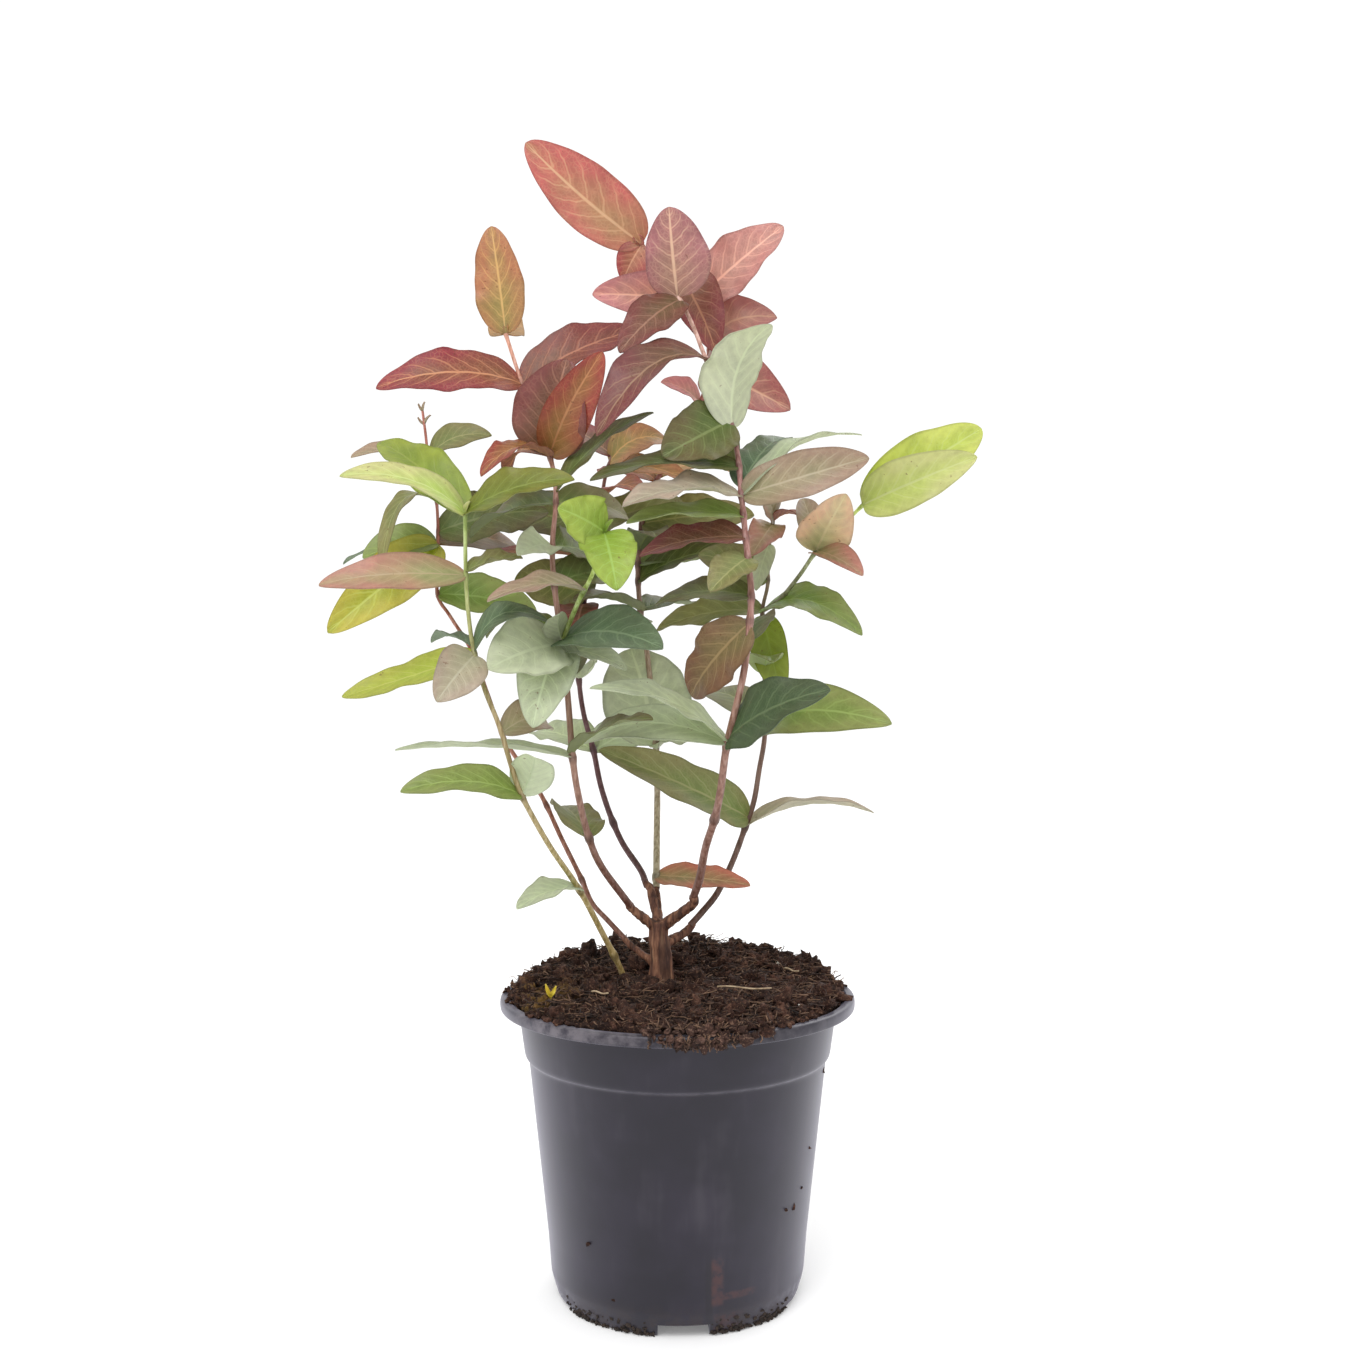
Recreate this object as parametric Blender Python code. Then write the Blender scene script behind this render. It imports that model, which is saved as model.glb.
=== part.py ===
"""A young red-flushed tutsan growing in a round plastic nursery pot, modelled in metres with +Z up."""

import math
import random

import bmesh
import bpy
from mathutils import Matrix, Vector

MM = 0.001

# Driving dimensions in millimetres. The pot stands on z = 0 round the z axis.
RIM_RADIUS = 65.0
POT_HEIGHT = 109.5
LIP_HEIGHT = 4.2
COLLAR_RADIUS = 58.2
STEP_HEIGHT = 87.6
STEP_RADIUS = 56.0
STEP_INSET = 1.4
SHOULDER_HEIGHT = 22.0
SHOULDER_RADIUS = 47.6
BASE_RADIUS = 44.6
WALL = 1.2
GAP = 0.3
POT_SIDES = 40
LIP_WIDTH = 3.0
LIP_ROUND = 1.0
LIP_FOOT = 0.6
STEP_SLOPE = 0.4
FOOT_HEIGHT = 8.8
FOOT_TUCK = 1.0
FOOT_ROUND = 1.5

# Drainage channels under the base, each opening through the wall as a notch.
CHANNELS = 4
CHANNEL_TURN = -87.0
CHANNEL_WIDTH = 18.0
CHANNEL_HEIGHT = 4.6
CHANNEL_START = 15.0
DRAIN_RADIUS = 4.0
DRAIN_DISTANCE = 35.0
DRAIN_TOP = 9.0
CUT_BELOW = 2.0
TRIM_TOP = 30.0
TRIM_INSET = 0.4
HOLE_SIDES = 12

# The heap of soil stands a little above the rim, and higher at the back.
SOIL_CENTRE = 114.0
SOIL_EDGE = 110.4
SOIL_EDGE_INSET = 4.4
SOIL_BACK_RISE = 8.0
SOIL_RINGS = (10.0, 21.0, 32.0, 43.0, 52.0, 58.5)
SOIL_SIDES = 36
SOIL_LUMP = 1.7
SOIL_CALM = 22.0
SOIL_SEED = 11

# Blades and stems.
BLADE_FOLD = 18.0
BLADE_END = 0.7
BLADE_THICKNESS = 0.75
LONG_BLADE = 34.0
LONG_STATIONS = (0.0, 0.1, 0.32, 0.6, 0.86, 1.0)
SHORT_STATIONS = (0.0, 0.14, 0.45, 0.8, 1.0)
STEM_SIDES = 5
STEM_SPACING = 16.0
FINE_SPACING = 1.5
HOLE_GAP = 0.7
HOLE_END = 6.0

# The trunk and the arms that reach from it to the feet of the stems.
TRUNK_SIDES = 8
TRUNK_SPACING = 12.0
ARM_SIDES = 6
ARM_SPACING = 6.0
ARM_END = 5.0
ARM_SWELL = (1.35, 1.05)

TRUNK = {
    "path": [(-6, 0, 90), (-6, 0, 106), (-6, 0, 122), (-7, 0, 130), (-7, 0, 136)],
    "radius": (4.8, 3.6),
}
TRUNK_FORK = (-7, 0, 133)
TRUNK_SIDE_FORK = (-5, 1, 127)
TRUNK_BASE_FORK = (-7, 0, 119)

# Each stem is a path of (x, y, z) points from its foot to its tip, with its radius at both ends.
# A leaf is (height on the stem, tip, width, facing, arch). Facing says where its upper side looks, in
# degrees: 0 up, 90 to the front, 270 to the back. Arch is the midrib's rise as a part of its length.
STEMS = {
    "stem_gold_tip": {
        "fork": TRUNK_FORK,
        "radius": (1.35, 0.65),
        "path": [(-18, -8, 144), (-27, -20, 159), (-31, -26, 170), (-34, -32, 184), (-36, -36, 199),
                 (-38, -38, 226), (-42, -36, 257), (-43, -33, 272), (-42, -30, 288), (-44, -26, 302),
                 (-53, -18, 325), (-55, -16, 330), (-61, -13, 348)],
        "leaves": [
            (170, (-44, 12, 176), 19, 0, 0.08),
            (199, (-96, -42, 201), 16, 12, 0.06),
            (201, (-8, -66, 214), 14, 20, 0.08),
            (238, (-62, -60, 230), 27, 60, 0.08),
            (240, (-5, -72, 238), 24, 45, 0.08),
            (239, (-39, -54, 248), 10, 60, 0.08),
            (240, (-48, -54, 211), 21, 90, 0.08),
            (241, (-67, -22, 240), 13, 30, 0.25),
            (271, (-27, -12, 267), 18, 50, 0.08),
            (272, (-53, -52, 268), 14, 50, 0.08),
            (287, (-75, -5, 277), 20, 25, 0.08),
            (291, (-9, -30, 319), 12, 25, 0.08),
            (303, (-38, -32, 336), 29, 90, 0.08),
            (303, (-25, -42, 337), 18, 90, 0.08),
            (303, (-66, -45, 295), 16, 25, 0.2),
            (303, (-62, 0, 298), 12, 30, 0.2),
            (330, (-104, -30, 326), 20, 50, 0.14),
            (330, (-14, 0, 351), 21, 45, 0.1),
            (348, (-66, -14, 386), 19, 90, 0.03),
            (348, (-64, 24, 370), 14, 180, 0.08),
            (287, (-18, -8, 283), 16, 55, 0.1),
            (258, (-20, -10, 262), 16, 50, 0.1),
            (226, (-40, 0, 230), 16, 20, 0.1),
            (237, (-17, -46, 230), 11, 35, 0.08),
        ],
        "shoots": [{
            "radius": (0.9, 0.6),
            "path": [(-39, -38, 240), (-33, -46, 253), (-28, -52, 262), (-24, -58, 275)],
            "leaves": [
                (275, (-38, -72, 282), 18, 72, 0.08),
                (275, (-19, -78, 256), 20, 20, 0.08),
                (256, (-62, -62, 252), 15, 20, 0.12),
            ],
        }],
    },
    "stem_dark_back": {
        "fork": TRUNK_FORK,
        "radius": (1.25, 0.7),
        "path": [(-12, 8, 149), (-14, 12, 153), (-21, 20, 162), (-26, 27, 172), (-30, 33, 183),
                 (-33, 38, 196), (-37, 42, 210), (-39, 45, 223), (-40, 48, 239), (-37, 50, 255),
                 (-34, 52, 271), (-31, 52, 287), (-29, 50, 302), (-25, 48, 314)],
        "leaves": [
            (196, (-5, 80, 199), 20, 40, 0.08),
            (196, (-60, 80, 199), 20, 30, 0.08),
            (239, (-67, 90, 228), 20, 40, 0.08),
            (239, (-12, 90, 245), 20, 30, 0.08),
            (253, (-39, 15, 238), 16, 40, 0.08),
            (255, (-59, 100, 262), 20, 30, 0.08),
            (271, (-78, 20, 267), 14, 0, 0.08),
            (273, (-45, 103, 276), 18, 20, 0.08),
            (287, (-72, 80, 292), 18, 20, 0.08),
            (295, (-13, 10, 294), 14, 30, 0.08),
            (309, (-4, 50, 318), 19, 50, 0.3),
            (307, (5, 35, 300), 14, 30, 0.08),
            (311, (-49, 80, 326), 16, 30, 0.08),
            (283, (-76, 44, 286), 22, 60, 0.08),
            (283, (2, 36, 292), 20, 60, 0.08),
            (258, (-64, 44, 263), 23, 60, 0.08),
            (223, (-36, 12, 226), 16, 25, 0.1),
        ],
    },
    "stem_tall_back": {
        "fork": TRUNK_FORK,
        "radius": (1.3, 0.65),
        "path": [(-8, 12, 148), (-8, 22, 163), (-8, 34, 185), (-9, 42, 204), (-11, 48, 223),
                 (-13, 52, 239), (-15, 54, 250), (-16, 55, 269), (-14, 54, 287), (-9, 52, 301),
                 (1, 48, 316), (9, 40, 331), (12, 28, 348), (8, 18, 365), (-2, 12, 377),
                 (-11, 8, 382), (-13, 6, 384)],
        "leaves": [
            (150, (26, -5, 151), 14, 40, 0.02),
            (198, (-19, 58, 235), 37, 70, 0.08),
            (198, (10, 20, 202), 18, 30, 0.08),
            (250, (-40, 30, 254), 18, 25, 0.08),
            (250, (9, 85, 251), 18, 25, 0.08),
            (269, (-12, 100, 280), 18, 30, 0.08),
            (269, (19, 70, 273), 16, 20, 0.08),
            (301, (-33, 90, 310), 18, 25, 0.08),
            (303, (24, 90, 310), 16, 20, 0.08),
            (331, (-6, 30, 338), 12, 50, 0.08),
            (342, (41, 5, 324), 25, 85, 0.15),
            (349, (37, 14, 359), 24, 60, 0.3),
            (366, (-31, 5, 366), 19, 80, 0.08),
            (366, (39, 8, 391), 22, 80, 0.08),
            (377, (14, 2, 344), 21, 60, 0.12),
            (384, (-20, 7, 371), 13, 90, 0.08),
            (384, (-55, 0, 419), 25, 90, 0.04),
            (285, (30, 46, 288), 20, 60, 0.08),
            (262, (24, 42, 275), 18, 45, 0.08),
            (275, (-8, 16, 278), 16, 30, 0.1),
        ],
    },
    "stem_tall_front": {
        "fork": TRUNK_FORK,
        "radius": (1.5, 0.7),
        "path": [(6, -10, 147), (8, -15, 154), (10, -22, 166), (13, -30, 177), (15, -36, 188),
                 (17, -42, 204), (22, -46, 226), (24, -46, 240), (25, -45, 255), (24, -42, 267),
                 (22, -36, 289), (21, -32, 302), (19, -28, 313), (16, -22, 326), (10, -16, 339),
                 (6, -12, 350), (2, -9, 359), (0, -8, 362)],
        "leaves": [
            (205, (-28, -60, 225), 14, 18, 0.1),
            (204, (-33, -24, 203), 16, 36, 0.18),
            (206, (49, -72, 224), 24, 50, 0.08),
            (246, (4, -30, 220), 22, 60, 0.08),
            (254, (-8, -25, 252), 16, 40, 0.08),
            (267, (11, -55, 256), 16, 40, 0.08),
            (274, (-13, -40, 269), 16, 40, 0.08),
            (282, (-17, -47, 279), 14, 32, 0.08),
            (289, (-18, -52, 285), 20, 30, 0.08),
            (289, (65, -42, 301), 18, 70, 0.08),
            (289, (64, -22, 313), 14, 15, 0.12),
            (291, (40, 5, 314), 18, 40, 0.08),
            (299, (-30, -35, 295), 16, 40, 0.08),
            (313, (31, -44, 346), 24, 2, 0.2),
            (315, (-5, -38, 302), 24, 70, 0.08),
            (313, (16, -15, 300), 12, 60, 0.08),
            (338, (-27, -45, 309), 23, 50, 0.22),
            (362, (-3, -16, 392), 25, 90, 0.06),
            (361, (-20, -28, 339), 18, 60, 0.08),
            (240, (30, 2, 244), 16, 20, 0.1),
        ],
    },
    "stem_right": {
        "fork": TRUNK_SIDE_FORK,
        "radius": (1.3, 0.6),
        "path": [(6, 9, 134), (9, 11, 137), (15, 14, 144), (21, 17, 156), (26, 20, 169),
                 (29, 21, 178), (31, 21, 190), (33, 20, 203), (33, 20, 220), (33, 20, 239),
                 (32, 20, 250), (34, 20, 260), (34, 20, 271), (36, 20, 284)],
        "leaves": [
            (171, (-28, -15, 200), 21, 62, 0.08),
            (168, (75, 25, 173), 15, 12, 0.12),
            (206, (75, -28, 210), 22, 62, 0.14),
            (206, (9, 80, 216), 18, 30, 0.08),
            (250, (67, -5, 241), 19, 35, 0.22),
            (250, (-8, 35, 242), 20, 32, 0.08),
            (248, (39, 12, 218), 15, 70, 0.08),
            (275, (29, 8, 258), 8, 50, 0.08),
            (284, (47, 12, 284), 8, 10, 0.2),
            (284, (30, 8, 296), 12, 50, 0.08),
            (283, (27, 0, 270), 14, 50, 0.08),
            (262, (8, 22, 272), 18, 55, 0.08),
            (226, (34, -16, 232), 14, 25, 0.1),
        ],
        "shoots": [{
            "radius": (0.9, 0.6),
            "path": [(32, 20, 250), (38, 14, 254), (45, 6, 263), (51, 0, 272), (59, -3, 280),
                     (67, -5, 288)],
            "leaves": [
                (271, (60, -14, 291), 21, 90, 0.08),
                (271, (64, -28, 263), 13, 65, 0.08),
                (272, (47, 18, 292), 12, 60, 0.08),
                (288, (104, -28, 303), 20, 78, 0.08),
                (288, (112, 8, 317), 23, 80, 0.12),
            ],
        }],
    },
    "stem_left_front": {
        "radius": (1.2, 0.65),
        "path": [(-15, 8, 96), (-18, 4, 107), (-21, 0, 118), (-27, -10, 133), (-35, -24, 152),
                 (-44, -38, 169), (-52, -50, 187), (-55, -54, 197), (-59, -55, 211), (-64, -53, 223),
                 (-68, -50, 236), (-70, -48, 248), (-71, -47, 262), (-71, -48, 282)],
        "leaves": [
            (151, (-54, -48, 149), 14, 35, 0.08),
            (187, (-90, -67, 190), 16, 40, 0.14),
            (187, (-46, -66, 202), 16, 270, 0.08),
            (235, (-113, -45, 220), 15, 45, -0.03),
            (235, (-78, -66, 220), 18, 80, 0.08),
            (236, (-43, -48, 246), 12, 30, 0.35),
            (238, (-86, -25, 240), 8, 0, 0.08),
            (261, (-118, -58, 259), 15, 45, 0.05),
            (262, (-52, -45, 267), 12, 30, 0.08),
            (282, (-109, -64, 294), 15, 50, 0.15),
            (282, (-105, -20, 309), 18, 40, 0.08),
            (282, (-34, -62, 293), 16, 40, 0.08),
        ],
    },
    "stem_left_back": {
        "fork": TRUNK_BASE_FORK,
        "radius": (1.0, 0.5),
        "path": [(-20, 4, 129), (-26, 6, 135), (-32, 9, 141), (-36, 13, 149), (-44, 18, 164),
                 (-52, 22, 180), (-61, 24, 193), (-67, 24, 203), (-72, 22, 218), (-78, 20, 235),
                 (-86, 20, 248), (-91, 21, 257), (-91, 24, 277), (-92, 26, 293), (-95, 27, 308),
                 (-96, 27, 317), (-97, 26, 326)],
        "leaves": [
            (203, (-50, 42, 204), 17, 50, 0.25),
            (275, (-127, -4, 242), 23, 85, 0.1),
            (259, (-73, 70, 255), 16, 20, 0.08),
            (275, (-118, 15, 270), 19, 40, 0.08),
            (274, (-131, 42, 270), 12, 5, 0.08),
            (275, (-64, 65, 274), 20, 48, 0.08),
            (292, (-107, -8, 264), 10, 20, 0.3),
            (308, (-70, 20, 316), 14, 45, 0.15),
            (309, (-121, 10, 307), 12, 40, 0.08),
            (280, (-50, 34, 289), 22, 60, 0.08),
            (256, (-54, 30, 250), 18, 55, 0.08),
        ],
    },
}


def start_empty():
    for item in list(bpy.data.objects):
        bpy.data.objects.remove(item, do_unlink=True)


def make_material(name, colour, roughness):
    material = bpy.data.materials.new(name)
    material.use_nodes = True
    shader = material.node_tree.nodes["Principled BSDF"]
    shader.inputs["Base Color"].default_value = (*colour, 1.0)
    shader.inputs["Roughness"].default_value = roughness
    shader.inputs["Metallic"].default_value = 0.0
    return material


def make_object(name, vertices, faces, material=None):
    """Make an object from points in millimetres, with its faces pointing out."""
    mesh = bpy.data.meshes.new(name)
    mesh.from_pydata([Vector(point) * MM for point in vertices], [], faces)
    model = bmesh.new()
    model.from_mesh(mesh)
    bmesh.ops.recalc_face_normals(model, faces=model.faces)
    model.to_mesh(mesh)
    model.free()
    if material:
        mesh.materials.append(material)
    item = bpy.data.objects.new(name, mesh)
    bpy.context.scene.collection.objects.link(item)
    return item


def apply_boolean(item, operation, others):
    """Join or cut the item with a list of objects in one Boolean, then remove them."""
    group = bpy.data.collections.new(item.name + "_tools")
    bpy.context.scene.collection.children.link(group)
    for other in others:
        bpy.context.scene.collection.objects.unlink(other)
        group.objects.link(other)
    modifier = item.modifiers.new("join", "BOOLEAN")
    modifier.operation = operation
    modifier.solver = "EXACT"
    modifier.operand_type = "COLLECTION"
    modifier.collection = group
    bpy.context.view_layer.update()
    result = bpy.data.meshes.new_from_object(item.evaluated_get(bpy.context.evaluated_depsgraph_get()))
    item.modifiers.clear()
    item.data = result
    for other in others:
        bpy.data.objects.remove(other, do_unlink=True)
    bpy.data.collections.remove(group)


def keep_main_body(item):
    """Keep the largest body of the mesh, so that no loose scrap or sealed hollow is left."""
    model = bmesh.new()
    model.from_mesh(item.data)
    unseen = set(model.verts)
    bodies = []
    while unseen:
        stack = [unseen.pop()]
        body = list(stack)
        while stack:
            for edge in stack.pop().link_edges:
                for vertex in edge.verts:
                    if vertex in unseen:
                        unseen.remove(vertex)
                        stack.append(vertex)
                        body.append(vertex)
        bodies.append(body)
    bodies.sort(key=len, reverse=True)
    scraps = [vertex for body in bodies[1:] for vertex in body]
    bmesh.ops.delete(model, geom=scraps, context="VERTS")
    bmesh.ops.triangulate(model, faces=model.faces)
    model.to_mesh(item.data)
    model.free()


def turned(profile, sides):
    """Turn a closed profile of (radius, z) points round the z axis."""
    vertices = []
    for side in range(sides):
        angle = 2.0 * math.pi * side / sides
        for radius, z in profile:
            vertices.append((radius * math.cos(angle), radius * math.sin(angle), z))
    count = len(profile)
    faces = []
    for side in range(sides):
        here = side * count
        there = (side + 1) % sides * count
        for k in range(count):
            after = (k + 1) % count
            faces.append((here + k, here + after, there + after, there + k))
    return vertices, faces


def turned_solid(name, profile, sides, material=None):
    """Turn a profile that runs from the axis round to the axis again, and close it there."""
    vertices, faces = turned(profile, sides)
    item = make_object(name, vertices, faces, material)
    model = bmesh.new()
    model.from_mesh(item.data)
    bmesh.ops.remove_doubles(model, verts=model.verts, dist=0.001 * MM)
    bmesh.ops.dissolve_degenerate(model, edges=model.edges, dist=0.001 * MM)
    bmesh.ops.recalc_face_normals(model, faces=model.faces)
    model.to_mesh(item.data)
    model.free()
    return item


def box(name, low, high, turn):
    """A block between two corners, turned about the z axis."""
    corners = [(x, y, z) for x in (low[0], high[0]) for y in (low[1], high[1]) for z in (low[2], high[2])]
    faces = [(0, 1, 3, 2), (4, 6, 7, 5), (0, 4, 5, 1), (2, 3, 7, 6), (0, 2, 6, 4), (1, 5, 7, 3)]
    spin = Matrix.Rotation(math.radians(turn), 3, "Z")
    return make_object(name, [spin @ Vector(corner) for corner in corners], faces)


def channel_blocks(name, widen, top):
    """The four radial blocks of the drainage channels, from near the centre out through the wall."""
    half = CHANNEL_WIDTH / 2 + widen
    start = CHANNEL_START - widen
    blocks = []
    for index in range(CHANNELS):
        turn = CHANNEL_TURN + 360.0 / CHANNELS * index
        blocks.append(box(f"{name}_{index}", (start, -half, -CUT_BELOW), (RIM_RADIUS, half, top), turn))
    return blocks


def inner_profile(gap):
    """The inside of the pot from the floor's edge up to the rim, moved in by a gap."""
    inset = WALL + gap
    return [
        (BASE_RADIUS - 1.5 * FOOT_ROUND - inset, WALL + gap),
        (SHOULDER_RADIUS - inset, SHOULDER_HEIGHT),
        (STEP_RADIUS - STEP_INSET - inset, STEP_HEIGHT - 2 * STEP_SLOPE),
        (STEP_RADIUS - inset, STEP_HEIGHT + 2 * STEP_SLOPE),
        (COLLAR_RADIUS - inset, POT_HEIGHT - LIP_HEIGHT),
        (RIM_RADIUS - LIP_WIDTH - LIP_FOOT - gap, POT_HEIGHT - LIP_FOOT),
    ]


def make_pot(material):
    """The pot: rolled lip, collar, step, tapered wall, rounded foot and a floor with drainage channels."""
    lip = POT_HEIGHT - LIP_HEIGHT
    outside = [
        (RIM_RADIUS - LIP_WIDTH, POT_HEIGHT),
        (RIM_RADIUS - LIP_ROUND, POT_HEIGHT),
        (RIM_RADIUS - 0.2 * LIP_ROUND, POT_HEIGHT - 0.7 * LIP_ROUND),
        (RIM_RADIUS, POT_HEIGHT - 1.8 * LIP_ROUND),
        (RIM_RADIUS, lip + LIP_FOOT),
        (RIM_RADIUS - LIP_FOOT, lip),
        (RIM_RADIUS - 3 * LIP_FOOT, lip),
        (COLLAR_RADIUS + 2.5 * LIP_FOOT, lip + LIP_FOOT),
        (COLLAR_RADIUS, lip - 2 * LIP_FOOT),
        (STEP_RADIUS, STEP_HEIGHT + STEP_SLOPE),
        (STEP_RADIUS - STEP_INSET, STEP_HEIGHT - STEP_SLOPE),
        (SHOULDER_RADIUS, SHOULDER_HEIGHT),
        (SHOULDER_RADIUS - FOOT_TUCK, FOOT_HEIGHT),
        (BASE_RADIUS, FOOT_ROUND),
        (BASE_RADIUS - FOOT_ROUND, 0.0),
        (0.0, 0.0),
        (0.0, WALL),
    ]
    pot = turned_solid("pot", outside + inner_profile(0.0), POT_SIDES, material)
    roofs = channel_blocks("roof", WALL, CHANNEL_HEIGHT + WALL)
    trim_profile = [
        (0.0, TRIM_INSET),
        (0.0, TRIM_TOP),
        (SHOULDER_RADIUS - 2 * TRIM_INSET, TRIM_TOP),
        (SHOULDER_RADIUS - FOOT_TUCK - TRIM_INSET, FOOT_HEIGHT),
        (BASE_RADIUS - 1.5 * TRIM_INSET, FOOT_ROUND),
        (BASE_RADIUS - 3 * TRIM_INSET, TRIM_INSET),
    ]
    trimmer = turned_solid("trimmer", trim_profile, POT_SIDES)
    for roof in roofs:
        modifier = roof.modifiers.new("trim", "BOOLEAN")
        modifier.operation = "INTERSECT"
        modifier.solver = "EXACT"
        modifier.object = trimmer
    bpy.context.view_layer.update()
    graph = bpy.context.evaluated_depsgraph_get()
    for roof, mesh in [(roof, bpy.data.meshes.new_from_object(roof.evaluated_get(graph))) for roof in roofs]:
        roof.modifiers.clear()
        roof.data = mesh
    bpy.data.objects.remove(trimmer, do_unlink=True)
    apply_boolean(pot, "UNION", roofs)
    cutters = channel_blocks("channel", 0.0, CHANNEL_HEIGHT)
    for index in range(CHANNELS):
        angle = math.radians(CHANNEL_TURN + 360.0 / CHANNELS * index)
        centre = (DRAIN_DISTANCE * math.cos(angle), DRAIN_DISTANCE * math.sin(angle))
        cutters.append(post(f"drain_{index}", centre, DRAIN_RADIUS, CUT_BELOW, DRAIN_TOP, HOLE_SIDES))
    apply_boolean(pot, "DIFFERENCE", cutters)
    keep_main_body(pot)
    return pot


def post(name, centre, radius, low, high, sides):
    """An upright round post, used as a cutter."""
    ring = [(centre[0] + radius * math.cos(2 * math.pi * k / sides),
             centre[1] + radius * math.sin(2 * math.pi * k / sides)) for k in range(sides)]
    vertices = [(x, y, low) for x, y in ring] + [(x, y, high) for x, y in ring]
    faces = [tuple(range(sides)), tuple(range(sides, 2 * sides))]
    faces += [(k, (k + 1) % sides, sides + (k + 1) % sides, sides + k) for k in range(sides)]
    return make_object(name, vertices, faces)


def make_soil(material):
    """The root ball: it fills the pot and ends in a lumpy heap, with plain holes for the stems."""
    draw = random.Random(SOIL_SEED)
    wall = inner_profile(GAP)
    edge = RIM_RADIUS - SOIL_EDGE_INSET
    vertices = [(0.0, 0.0, SOIL_CENTRE)]
    for radius in SOIL_RINGS:
        part = radius / edge
        for side in range(SOIL_SIDES):
            angle = 2.0 * math.pi * side / SOIL_SIDES
            x = radius * math.cos(angle)
            y = radius * math.sin(angle)
            fall = part ** 4 * (SOIL_CENTRE - SOIL_EDGE)
            back = SOIL_BACK_RISE * max(0.0, y / edge) * (1.0 - part ** 10)
            near_stem = min(1.0, math.hypot(x + SOIL_CALM / 2, y) / SOIL_CALM)
            lump = draw.uniform(-SOIL_LUMP, SOIL_LUMP) * near_stem
            vertices.append((x, y, SOIL_CENTRE - fall + back + lump))
    for radius, z in [(edge, SOIL_EDGE)] + wall[::-1]:
        for side in range(SOIL_SIDES):
            angle = 2.0 * math.pi * side / SOIL_SIDES
            vertices.append((radius * math.cos(angle), radius * math.sin(angle), z))
    bottom = len(vertices)
    vertices.append((0.0, 0.0, WALL + GAP))
    faces = []
    ring_count = len(SOIL_RINGS) + 1 + len(wall)
    for side in range(SOIL_SIDES):
        after = (side + 1) % SOIL_SIDES
        faces.append((0, 1 + side, 1 + after))
        for ring in range(ring_count - 1):
            low = 1 + ring * SOIL_SIDES
            high = low + SOIL_SIDES
            faces.append((low + side, high + side, high + after, low + after))
        last = 1 + (ring_count - 1) * SOIL_SIDES
        faces.append((last + side, bottom, last + after))
    soil = make_object("soil", vertices, faces, material)
    cutters = channel_blocks("channel", WALL + GAP, CHANNEL_HEIGHT + WALL + GAP)
    cutters.append(stem_hole("trunk_hole", TRUNK))
    cutters.append(stem_hole("left_hole", STEMS["stem_left_front"]))
    apply_boolean(soil, "DIFFERENCE", cutters)
    keep_main_body(soil)
    return soil


def stem_hole(name, branch):
    """A straight round cutter along the foot of a stem, a little deeper and wider than the stem."""
    foot = Vector(branch["path"][0])
    above = Vector(branch["path"][2])
    radius = branch["radius"][0] + HOLE_GAP
    down = (foot - above).normalized() * HOLE_GAP
    ends = [foot + down, above - down * HOLE_END]
    return tube(name, ends, radius, radius, HOLE_SIDES, STEM_SPACING)


def smooth_path(points, spacing):
    """Points along a smooth curve through the given ones, about one spacing apart."""
    ends = [2 * Vector(points[0]) - Vector(points[1]), 2 * Vector(points[-1]) - Vector(points[-2])]
    spots = [ends[0]] + [Vector(point) for point in points] + [ends[1]]
    dense = []
    for index in range(1, len(spots) - 2):
        before, here, there, after = spots[index - 1:index + 3]
        for step in range(8):
            t = step / 8
            dense.append(0.5 * (2 * here + (there - before) * t
                                + (2 * before - 5 * here + 4 * there - after) * t * t
                                + (3 * here - before - 3 * there + after) * t ** 3))
    dense.append(spots[-2])
    lengths = [0.0]
    for first, second in zip(dense, dense[1:]):
        lengths.append(lengths[-1] + (second - first).length)
    count = max(2, round(lengths[-1] / spacing))
    result = []
    for number in range(count + 1):
        goal = lengths[-1] * number / count
        index = max(1, next((k for k, value in enumerate(lengths) if value >= goal - 1e-9), len(lengths) - 1))
        part = (goal - lengths[index - 1]) / (lengths[index] - lengths[index - 1])
        result.append(dense[index - 1].lerp(dense[index], part))
    return result


def tube(name, points, radius_start, radius_end, sides, spacing, material=None):
    """A round tube with closed ends along a smooth path, its radius changing evenly."""
    path = smooth_path(points, spacing)
    across = Vector((1.0, 0.0, 0.0))
    vertices = []
    for index, point in enumerate(path):
        along = (path[min(index + 1, len(path) - 1)] - path[max(index - 1, 0)]).normalized()
        across = (across - across.dot(along) * along).normalized()
        other = along.cross(across)
        radius = radius_start + (radius_end - radius_start) * index / (len(path) - 1)
        for side in range(sides):
            angle = 2.0 * math.pi * (side + 0.5) / sides
            vertices.append(point + radius * (math.cos(angle) * across + math.sin(angle) * other))
    faces = [tuple(range(sides))[::-1], tuple(range(len(vertices) - sides, len(vertices)))]
    for index in range(len(path) - 1):
        for side in range(sides):
            low = index * sides
            after = (side + 1) % sides
            faces.append((low + side, low + after, low + sides + after, low + sides + side))
    return make_object(name, vertices, faces, material)


def point_at_height(points, height):
    """The point of a smooth path that is nearest to a height."""
    path = smooth_path(points, FINE_SPACING)
    return min(path, key=lambda point: abs(point.z - height))


def half_width(t):
    """The outline of an egg-shaped blade: half its width, as a part of the widest, at t along it."""
    return math.sin(math.pi * min(max(t, 0.0), 1.0) ** 0.74) ** 0.56


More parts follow.
